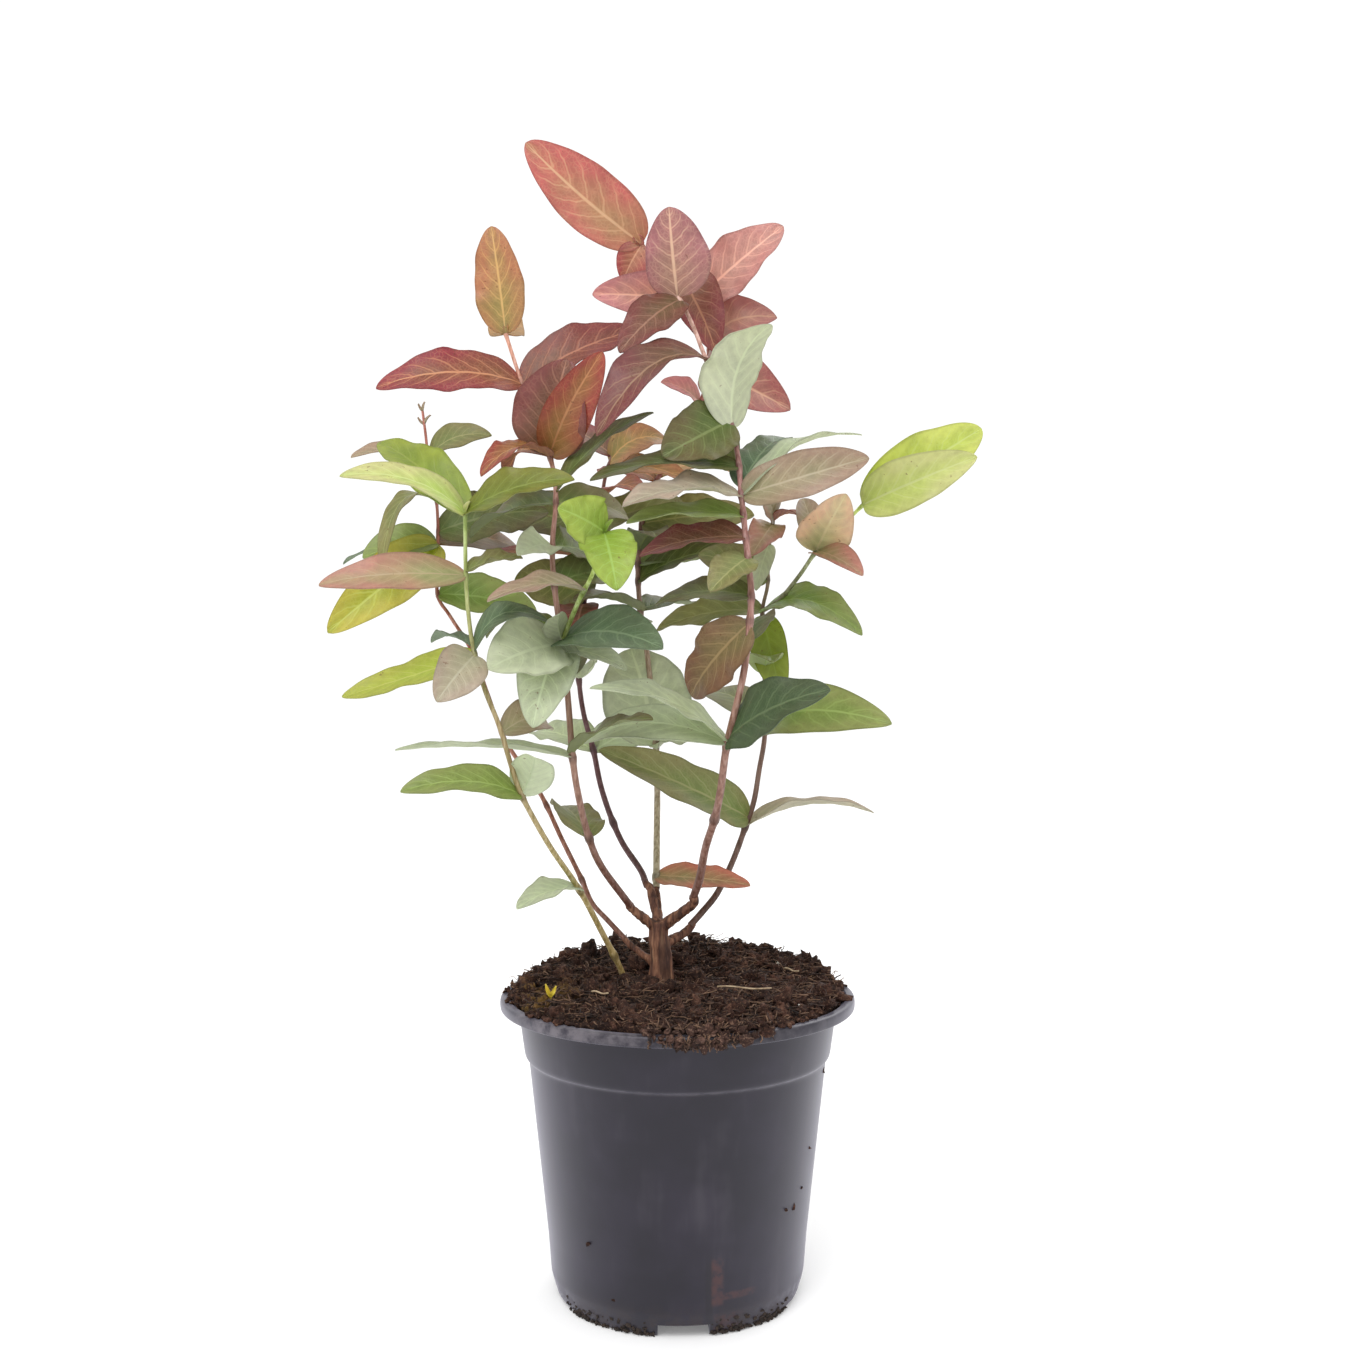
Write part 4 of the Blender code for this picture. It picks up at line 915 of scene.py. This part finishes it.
def rounded(profile, rounds, share):  # cuts each corner of an open outline
    for _ in range(rounds):
        cut = [profile[0]]
        for (r0, z0), (r1, z1) in zip(profile, profile[1:]):
            size = math.hypot(r1 - r0, z1 - z0)
            part = min(share, 0.8 / max(size, 0.01))
            cut.append((r0 + (r1 - r0) * part, z0 + (z1 - z0) * part))
            cut.append((r1 - (r1 - r0) * part, z1 - (z1 - z0) * part))
        cut.append(profile[-1])
        profile = cut
    return profile


def turnedPiece(name, profile, sides):
    points, faces = [], []
    for side in range(sides):
        angle = 2 * math.pi * side / sides
        points += [Vector((*onCircle(radius, angle), z)) * mm for radius, z in profile]
    count = len(profile)
    for side in range(sides):
        here, there = side * count, (side + 1) % sides * count
        for k in range(count):
            after = (k + 1) % count
            faces.append((here + k, here + after, there + after, there + k))
    mesh = newMesh(name, points, faces, outward=False)
    faceOutward(mesh, closest=0.0005 * mm)
    return linked(name, mesh)


def blockPiece(name, low, high, turn):
    corners = [(x, y, z) for x in (low[0], high[0]) for y in (low[1], high[1]) for z in (low[2], high[2])]
    faces = [(0, 1, 3, 2), (4, 6, 7, 5), (0, 4, 5, 1), (2, 3, 7, 6), (0, 2, 6, 4), (1, 5, 7, 3)]
    spin = Matrix.Rotation(math.radians(turn), 3, "Z")
    return linked(name, newMesh(name, [spin @ Vector(corner) * mm for corner in corners], faces))


def postPiece(name, centre, radius, low, high, sides):
    ring = [onCircle(radius, 2 * math.pi * k / sides) for k in range(sides)]
    points = [Vector((centre[0] + x, centre[1] + y, z)) * mm for z in (low, high) for x, y in ring]
    faces = [tuple(range(sides)), tuple(range(sides, 2 * sides))]
    faces += [(k, (k + 1) % sides, sides + (k + 1) % sides, sides + k) for k in range(sides)]
    return linked(name, newMesh(name, points, faces))


def applyBoolean(piece, operation, others):
    for other in others:
        modifier = piece.modifiers.new("cut", "BOOLEAN")
        modifier.operation = operation
        modifier.solver = "EXACT"
        modifier.object = other
    applyModifiers(piece)
    for other in others:
        bpy.data.objects.remove(other, do_unlink=True)


def makePot():
    keys = ("rim", "height", "collar", "step", "stepHeight", "shoulder", "shoulderHeight", "base", "wall")
    rim, height, collar, step, stepHeight, shoulder, shoulderHeight, base, wall = (pot[k] for k in keys)
    lip = height - pot["lip"]
    inset = step - pot["stepInset"]
    footHeight = shoulderHeight * 0.4
    outside = [
        (rim - 3.0, height), (rim - 1.0, height), (rim, height - 0.8), (rim, lip + 0.5), (rim - 0.6, lip),
        (rim - 1.9, lip), (collar + 1.5, lip + 0.5), (collar, lip - 1.2), (step, stepHeight + 0.5),
        (inset, stepHeight - 0.5), (shoulder, shoulderHeight), (shoulder - 1.0, footHeight),
        (base, 1.6), (base - 1.6, 0.0)]
    inside = [
        (base - 2.2 - wall, wall), (shoulder - wall, shoulderHeight), (inset - wall, stepHeight - 0.8),
        (step - wall, stepHeight + 0.8), (collar - wall, lip), (rim - 3.6, height - 0.6)]
    # the roofs of the channels fill this space, up to the middle of the wall
    footInside = [
        (0.0, 0.4), (0.0, 30.0), (shoulder - 0.6, 30.0), (shoulder - 1.6, footHeight),
        (base - 0.8, 1.8), (base - 2.0, 0.4)]
    profile = rounded(outside, 3, 0.25) + [(0.0, 0.0), (0.0, wall)] + rounded(inside, 1, 0.2)
    piece = turnedPiece("nurseryPot", profile, pot["sides"])
    start, half, top = pot["channelStart"], pot["channelWidth"] / 2, pot["channelHeight"]
    roofs, cutters = [], []
    for index in range(pot["channels"]):
        turn = pot["channelTurn"] + 360 / pot["channels"] * index
        low, high = (start - wall, -half - wall, -2.0), (rim, half + wall, top + wall)
        roofs.append(blockPiece(f"roof{index}", low, high, turn))
        applyBoolean(roofs[-1], "INTERSECT", [turnedPiece("trim", footInside, pot["sides"])])
        cutters.append(blockPiece(f"channel{index}", (start, -half, -2.0), (rim, half, top), turn))
        centre = onCircle(pot["drainDistance"], math.radians(turn))
        cutters.append(postPiece(f"drain{index}", centre, pot["drainRadius"], -2.0, 9.0, 32))
    applyBoolean(piece, "UNION", roofs)
    applyBoolean(piece, "DIFFERENCE", cutters)
    piece.data.materials.clear()
    piece.data.materials.append(makePotMaterial())
    piece.data.shade_smooth()
    piece.data.set_sharp_from_angle(angle=math.radians(40))
    return piece


potPiece = makePot()
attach(potPiece, "root")
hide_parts("pot")
print("pot made")

# The soil, in millimetres.
soil = {
    "centre": 114.0,
    "backRise": 8.0,
    "edgeRadius": 60.6,
    "edgeHeight": 110.4,
    "rings": 84,
    "sides": 230,
    "floor": 7.0,
    "bumps": ((1.9, 0.085), (2.1, 0.21), (1.8, 0.5), (1.0, 1.2)),    # (height, how fine)
    "calm": 14.0,             # it is smoother this near to the trunk
}

bits = {
    "clods": (260, 1.6, 4.0),         # number, smallest and largest
    "smallClods": (900, 0.8, 2.2),
    "crumbs": (2600, 0.35, 1.2),
    "perlite": 6,
    "backEdge": (-14, 208),           # degrees: where the jagged back edge starts, and its length
    "backLumps": 120,
    "backStrands": 90,
    "spill": (11.0, 10.0),            # middle and spread of what hangs over the front rim
    "spillLumps": 90,
    "spillStrands": 60,
    "rimCrumbs": ((-62, -38, 16), (-150, -118, 22), (168, 198, 16), (5, 30, 16)),
    "wallCrumbs": ((47.0, 58.5), (44.0, 45.0), (52.6, 84.0), (-31.0, 30.0), (38.0, 40.0), (41.0, 39.4),
                   (-22, 12)),
    "footSoil": ((-111, 6, 60), (-136, 7, 60), (-66, 6, 70), (-43, 6, 70)),
    "footReach": (-156, -24),
    "footNotch": (-99.5, -75.0),
    "longFibres": 950,
    "tufts": 700,
    "straws": (((14, -26), (33, -29), 4.2), ((-30, -30), (-24, -33), 2.0), ((40, 12), (45, 6), 2.0)),
    "sprout": (-45.0, -26.0),
}


def soilHeight(x, y):
    radius = math.hypot(x, y) / soil["edgeRadius"]
    fall = radius ** 4 * (soil["centre"] - soil["edgeHeight"])
    back = soil["backRise"] * max(0.0, y / soil["edgeRadius"]) * max(0.0, 1 - radius ** 10)
    place = Vector((x, y, 3.7))
    rough = sum(height * noise.noise(place * fine) for height, fine in soil["bumps"])
    near = min(1.0, math.hypot(x + 10, y) / soil["calm"])
    return soil["centre"] - fall + back + (rough - 0.4) * (0.4 + 0.6 * near)


def makeSoilMaterial(name, darkest, middle, palest):
    material, tree, place = startMaterial(name)
    wide = place.noiseAt(60.0, 2.0)
    coarse = place.noiseAt(260.0, 5.0, 0.7)
    fine = place.noiseAt(1500.0, 4.0, 0.7)
    threads = place.stretched(0.35, 1.0, 0.6).noiseAt(1700.0, 2.0)
    specks = place.noiseAt(1100.0, 2.0).between(0.69, 0.76)
    x, y, _ = place.parts()
    shade = coarse * 0.44 + fine * 0.31 + wide * 0.25
    body = shade.ramp((0.36, darkest), (0.51, middle), (0.66, palest))
    body = tree.mix(threads.between(0.58, 0.66) * 0.5, body, paint(128, 98, 78))
    body = tree.mix(specks * 0.5, body, paint(158, 132, 110))
    # yellowish moss at the left, and soil made lighter along the front rim
    moss = x.band(-0.06, -0.052, -0.042, -0.03) * y.band(-0.04, -0.03, -0.012, 0.0)
    body = tree.mix(moss * coarse.between(0.46, 0.58) * 0.6, body, paint(124, 96, 46))
    body = tree.mix(y.between(-0.0575, -0.064) * 0.45, body, body.brighter(1.7, 0.75))
    return endMaterial(material, body.skin(
        0.88 - threads * 0.1, 0.25, {"Normal": (coarse + fine * 0.7 + threads * 0.3).bump(1.0, 0.8)}))


def makePlainMaterial(name, first, second, roughness, scale, glow=0.0):
    material, tree, place = startMaterial(name)
    patches = place.noiseAt(scale, 4.0, 0.6)
    body = tree.mix(patches.between(0.3, 0.7), paint(*first), paint(*second))
    skin = body.skin(roughness, 0.5, {"Normal": patches.bump(0.5, 0.3)})
    return endMaterial(material, body.through(skin, glow) if glow else skin)


def makeSoilHeap():
    rings, sides = soil["rings"], soil["sides"]
    levels = [(soil["edgeRadius"] * (ring / rings) ** 0.85, None) for ring in range(1, rings + 1)]
    levels += [(pot["collar"] - 1.6, pot["height"] - 6), (pot["step"] - 3.2, pot["stepHeight"] - 2),
               (pot["shoulder"] - 2.0, pot["shoulderHeight"]), (pot["base"] - 4.2, soil["floor"])]
    points, faces = [Vector((0.0, 0.0, soilHeight(0.0, 0.0))) * mm], []
    for radius, z in levels:
        for side in range(sides):
            x, y = onCircle(radius, 2 * math.pi * side / sides)
            points.append(Vector((x, y, soilHeight(x, y) if z is None else z)) * mm)
    bottom = len(points)
    points.append(Vector((0.0, 0.0, soil["floor"])) * mm)
    for side in range(sides):
        after = (side + 1) % sides
        faces.append((0, 1 + side, 1 + after))
        for ring in range(len(levels) - 1):
            low = 1 + ring * sides
            faces.append((low + side, low + sides + side, low + sides + after, low + after))
        last = 1 + (len(levels) - 1) * sides
        faces.append((last + side, bottom, last + after))
    mesh = newMesh("soilHeap", points, faces)
    mesh.shade_smooth()
    return linked("soilHeap", mesh)


def lumpShape(subdivisions, seed):
    model = bmesh.new()
    bmesh.ops.create_icosphere(model, subdivisions=subdivisions, radius=1.0)
    for vertex in model.verts:
        place = vertex.co + Vector((seed, 2.0 * seed, 0.0))
        vertex.co *= 1 + 0.9 * noise.noise(place * 1.3) + 0.6 * noise.noise(place * 2.9)
    shape = [vertex.co.copy() for vertex in model.verts], [[v.index for v in f.verts] for f in model.faces]
    model.free()
    return shape


class Loose:  # many small bits that become one piece
    def __init__(self, seed, subdivisions=1, kinds=0, step=0.0, first=0.0):
        self.draw = random.Random(seed)
        self.shapes = [lumpShape(subdivisions, step * k + first) for k in range(kinds)]
        self.points, self.faces = [], []

    def addLump(self, centre, size):  # size is a number, or the two ends of its range
        draw = self.draw
        points, faces = draw.choice(self.shapes)
        if isinstance(size, tuple):
            size = draw.uniform(*size)
        spin = Matrix.Rotation(draw.uniform(0, 6.3), 3, Vector([draw.gauss(0, 1) for _ in range(3)]))
        scale = [size * draw.uniform(*ends) for ends in ((0.6, 1.5), (0.5, 1.2), (0.4, 0.9))]
        start = len(self.points)
        for point in points:
            self.points.append((spin @ Vector(a * b for a, b in zip(point, Vector(scale))) + centre) * mm)
        for face in faces:
            self.faces.append([start + k for k in face])

    def addStrand(self, path, radius, sides=4):
        across = Vector((0.3, 0.2, 1.0))
        rings, faces = tubeParts(path, [radius] * len(path), sides, across, len(self.points))
        self.points += [point * mm for point in rings]
        self.faces += faces

    def spotOnSoil(self, reach=0.985):
        radius = soil["edgeRadius"] * reach * math.sqrt(self.draw.random())
        x, y = onCircle(radius, self.draw.uniform(0, 2 * math.pi))
        return Vector((x, y, soilHeight(x, y)))

    def scatter(self, count, smallest, largest):
        for _ in range(count):
            size = smallest + (largest - smallest) * self.draw.random() ** 2.2
            self.addLump(self.spotOnSoil() + Vector((0, 0, size * 0.15)), size)

    def strandPath(self, spot, length, rise):
        draw = self.draw
        heading = draw.uniform(0, 2 * math.pi)
        path = []
        for _ in range(6):
            path.append(spot.copy())
            heading += draw.uniform(-0.5, 0.5)
            spot = spot + Vector((math.cos(heading), math.sin(heading), 0)) * length / 5
            spot.z = spot.z + draw.uniform(-0.4, 0.6) * rise
        return path

    def piece(self, name, material):
        mesh = newMesh(name, self.points, self.faces, outward=False)
        mesh.materials.append(material)
        mesh.shade_smooth()
        return linked(name, mesh)


def rimDepth(x):  # how far in front of the middle the rim is
    return math.sqrt(pot["rim"] ** 2 - x * x)


def makeClods(material):
    clods = Loose(5, 3, 7, 3.1, 0.7)
    clods.scatter(*bits["clods"])
    return clods.piece("soilClods", material)


def makeLumps(material):
    lumps = Loose(7, 2, 7, 4.3, 1.1)
    draw = lumps.draw
    lumps.scatter(*bits["smallClods"])
    # a jagged row along the back and at both ends, as seen against the light
    start, sweep = bits["backEdge"]
    for number in range(bits["backLumps"]):
        along = sweep * number / (bits["backLumps"] - 1)
        angle = math.radians(start + along + draw.uniform(-1.5, 1.5))
        x, y = onCircle(soil["edgeRadius"] - draw.uniform(1.5, 9.0), angle)
        lumps.addLump(Vector((x, y, soilHeight(x, y) + draw.uniform(0.0, 2.2))), (0.9, 3.0))
    # what has spilled over the front of the rim
    middle, spread = bits["spill"]
    for _ in range(bits["spillLumps"]):
        x = clamped(draw.gauss(middle, spread), -10.0, 33.0)
        drop = draw.random() ** 1.3 * (1 - ((x - 11) / 26) ** 2)
        y = -(rimDepth(x) - 2.8 + 3.0 * min(1.0, drop * 2.2))
        lumps.addLump(Vector((x, y, pot["height"] + 1.8 - 6.0 * drop)), (0.7, 2.1))
    for start, end, count in bits["rimCrumbs"]:
        for _ in range(count):
            angle = math.radians(draw.uniform(start, end))
            x, y = onCircle(pot["rim"] - draw.uniform(1.2, 4.5), angle)
            lumps.addLump(Vector((x, y, pot["height"] + 0.5)), (0.5, 1.4))
    return lumps.piece("soilLumps", material)


def makeCrumbs(material):  # also a few that are stuck to the wall of the pot
    crumbs = Loose(6, 1, 9, 2.7, 0.3)
    crumbs.scatter(*bits["crumbs"])
    low, high = pot["shoulderHeight"], pot["stepHeight"]
    for x, z in bits["wallCrumbs"]:
        wider = pot["step"] - pot["stepInset"] - pot["shoulder"]
        radius = pot["shoulder"] + wider * (z - low) / (high - low)
        y = -math.sqrt(max(radius ** 2 - x * x, 0.0))
        crumbs.addLump(Vector((x, y, z)), (0.5, 1.0))
    return crumbs.piece("soilCrumbs", material)


def makeFootSoil(material):  # wet soil along the foot of the pot, on both sides of the front notch
    wet = Loose(16, 2, 9, 3.7, 0.9)
    draw = wet.draw
    for middle, spread, count in bits["footSoil"]:
        for _ in range(count):
            angle = math.radians(clamped(draw.gauss(middle, spread), *bits["footReach"]))
            if bits["footNotch"][0] < math.degrees(angle) < bits["footNotch"][1]:
                continue
            size = draw.uniform(0.4, 1.2)
            z = size + 5.0 * draw.random() ** 4
            radius = pot["base"] + (pot["shoulder"] - 1.0 - pot["base"]) * min(1.0, z / 8.8) - 0.45
            wet.addLump(Vector((*onCircle(radius, angle), z)), size * 0.8)
    return wet.piece("footSoil", material)


def makeFibres(name, material, seed):
    fibres = Loose(seed)
    draw, edge, rim = fibres.draw, soil["edgeRadius"], pot["height"]
    for _ in range(bits["longFibres"]):
        spot = fibres.spotOnSoil(0.97) + Vector((0, 0, draw.uniform(0.2, 1.2)))
        path = fibres.strandPath(spot, draw.uniform(3.0, 11.0), 1.0)
        path = [p for p in path if math.hypot(p.x, p.y) < edge + 1]
        if len(path) > 2:
            fibres.addStrand(path, draw.uniform(0.08, 0.22))
    # short tufts that point every way
    for _ in range(bits["tufts"]):
        x = draw.gauss(11.0, 12.0)
        spill = draw.random() < 0.12 and -12 < x < 34
        spot = fibres.spotOnSoil(0.99)
        if spill:
            spot = Vector((x, draw.uniform(1.5, 5.0) - rimDepth(x), rim + 2.0))
        way = Vector((draw.gauss(0, 1), draw.gauss(0, 1), abs(draw.gauss(0, 0.7)))).normalized()
        bend = Vector([draw.gauss(0, 1) for _ in range(3)]) * 0.3
        size = draw.uniform(1.4, 3.6)
        path = [spot + way * (size * k / 3) + bend * (k * k / 4) for k in range(4)]
        fibres.addStrand(path, draw.uniform(0.08, 0.24))
    # strands that stand up from the back edge and hang over the front
    start, sweep = bits["backEdge"]
    for _ in range(bits["backStrands"]):
        angle = math.radians(draw.uniform(start, start + sweep))
        x, y = onCircle(edge - draw.uniform(1, 6), angle)
        spot = Vector((x, y, soilHeight(x, y) + 0.5))
        path = fibres.strandPath(spot, draw.uniform(2.5, 6.0), 1.8)
        fibres.addStrand(path, draw.uniform(0.1, 0.25))
    for _ in range(bits["spillStrands"]):
        x = clamped(draw.gauss(*bits["spill"]), -9.0, 32.0)
        spot = Vector((x, -rimDepth(x) - 0.4, rim - draw.uniform(-1, 2.5)))
        steps = [Vector((draw.uniform(-0.7, 0.7), -0.15 * k, -k * draw.uniform(0.3, 0.8))) for k in range(5)]
        fibres.addStrand([spot + step for step in steps], draw.uniform(0.12, 0.3))
    return fibres.piece(name, material)


def makeStraw(material):
    straw = Loose(0)
    for (x0, y0), (x1, y1), lift in bits["straws"]:
        path = []
        for step in range(8):
            x, y = x0 + (x1 - x0) * step / 7, y0 + (y1 - y0) * step / 7
            path.append(Vector((x, y, soilHeight(x0, y0) + lift + 0.3 * math.sin(step))))
        straw.addStrand(path, 0.32, 6)
    return straw.piece("strawBits", material)


def makePerlite(material):
    grains = Loose(21, 2, 4, 5.3, 1.9)
    for _ in range(bits["perlite"]):
        grains.addLump(grains.spotOnSoil(0.9) + Vector((0, 0, 1.2)), (0.35, 0.7))
    return grains.piece("perlite", material)


def makeSprout():
    sheet = newSheet()
    foot = Vector((*bits["sprout"], soilHeight(*bits["sprout"])))
    top = foot + Vector((0.4, -0.8, 3.8))
    shade = paint(226, 206, 70)
    addTube(sheet, [foot.lerp(top, k / 4) for k in range(5)], [0.4] * 5, [shade] * 5, 8, 0)
    for lean, rise in ((-1.7, 4.6), (2.0, 3.9)):
        addLeaf(sheet, top, top + Vector((lean, -0.6, rise)), 1.5, 80, "lime", f"sprout {lean}", 0.05)
    return sheet


peatMaterial = makeSoilMaterial("darkPeat", (18, 11, 9), (44, 29, 24), (82, 57, 47))
clodMaterial = makeSoilMaterial("peatClods", (23, 14, 11), (58, 38, 31), (112, 79, 65))
footSoilMaterial = makePlainMaterial("footSoil", (30, 25, 24), (62, 50, 42), 0.85, 600.0)
fibreMaterial = makePlainMaterial("peatFibre", (70, 50, 39), (132, 102, 80), 0.8, 260.0)
darkFibreMaterial = makePlainMaterial("darkFibre", (30, 20, 16), (74, 51, 41), 0.8, 260.0)
strawMaterial = makePlainMaterial("paleStraw", (136, 112, 86), (184, 162, 132), 0.6, 500.0)
perliteMaterial = makePlainMaterial("whitePerlite", (190, 184, 174), (224, 220, 212), 0.7, 900.0)
sproutMaterial = makePlainMaterial("yellowSprout", (206, 176, 40), (242, 222, 84), 0.5, 500.0, 0.25)

soilHeap = makeSoilHeap()
soilHeap.data.materials.append(peatMaterial)
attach(soilHeap, "root")
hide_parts("soil")
loosePieces = [
    makeClods(clodMaterial), makeLumps(clodMaterial), makeCrumbs(clodMaterial),
    makeFootSoil(footSoilMaterial), makeFibres("peatFibres", fibreMaterial, 8),
    makeFibres("darkFibres", darkFibreMaterial, 9), makeStraw(strawMaterial),
    makePerlite(perliteMaterial), finishSheet(makeSprout(), "yellowSprout", [sproutMaterial])]
for piece in loosePieces:
    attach(piece, "root")
print("soil made")

# Floor, light and camera, in metres.
studio = {
    "floorSize": 6.0,
    "floorTone": (240, 240, 240),
    "floorGlow": 0.16,
    "worldStrength": 1.06,
    "keyPower": 14.0,
    "keyPlace": (-0.4, -1.1, 1.5),
    "backPower": 5.0,
    "backPlace": (0.6, 1.1, 1.2),
    "lampSize": 0.9,
    "aim": (0.0, 0.0, 0.22),
}

camera = {
    "place": (0.002, -0.588, 0.244),
    "tilt": 88.0,              # degrees: 90 looks level
    "sensor": 36.0,
    "photoWidth": 1366,        # pixels
    "focalLength": 1607,       # pixels
}


def makeFloor():
    half = studio["floorSize"] / 2
    corners = [(-half, -half, 0), (half, -half, 0), (half, half, 0), (-half, half, 0)]
    mesh = newMesh("studioFloor", corners, [(0, 1, 2, 3)], outward=False)
    material, tree, place = startMaterial("paleFloor")
    tone = studio["floorTone"]
    body = tree.mix(place.noiseAt(3.0, 2.0), paint(*tone), paint(*[c * 0.99 for c in tone]))
    glow = {"Emission Color": (1.0, 1.0, 1.0, 1.0), "Emission Strength": studio["floorGlow"]}
    mesh.materials.append(endMaterial(material, body.skin(0.8, 0.2, glow)))
    return linked("studioFloor", mesh)


def addLight(name, power, place):
    lamp = bpy.data.lights.new(name, "AREA")
    lamp.energy = power
    lamp.size = studio["lampSize"]
    item = linked(name, lamp)
    item.location = place
    item.rotation_euler = (Vector(studio["aim"]) - Vector(place)).to_track_quat("-Z", "Y").to_euler()


makeFloor()
addLight("keyLight", studio["keyPower"], studio["keyPlace"])
addLight("backLight", studio["backPower"], studio["backPlace"])
world = bpy.data.worlds.new("whiteStudio")
world.use_nodes = True
world.node_tree.nodes["Background"].inputs["Color"].default_value = (1.0, 1.0, 1.0, 1.0)
world.node_tree.nodes["Background"].inputs["Strength"].default_value = studio["worldStrength"]
bpy.context.scene.world = world
bpy.context.scene.view_settings.view_transform = "Standard"

cameraData = bpy.data.cameras.new("photoCamera")
cameraData.sensor_width = camera["sensor"]
cameraData.lens = camera["sensor"] * camera["focalLength"] / camera["photoWidth"]
cameraObject = linked("photoCamera", cameraData)
cameraObject.location = camera["place"]
cameraObject.rotation_euler = (math.radians(camera["tilt"]), 0.0, 0.0)
bpy.context.scene.camera = cameraObject
print("studio made")
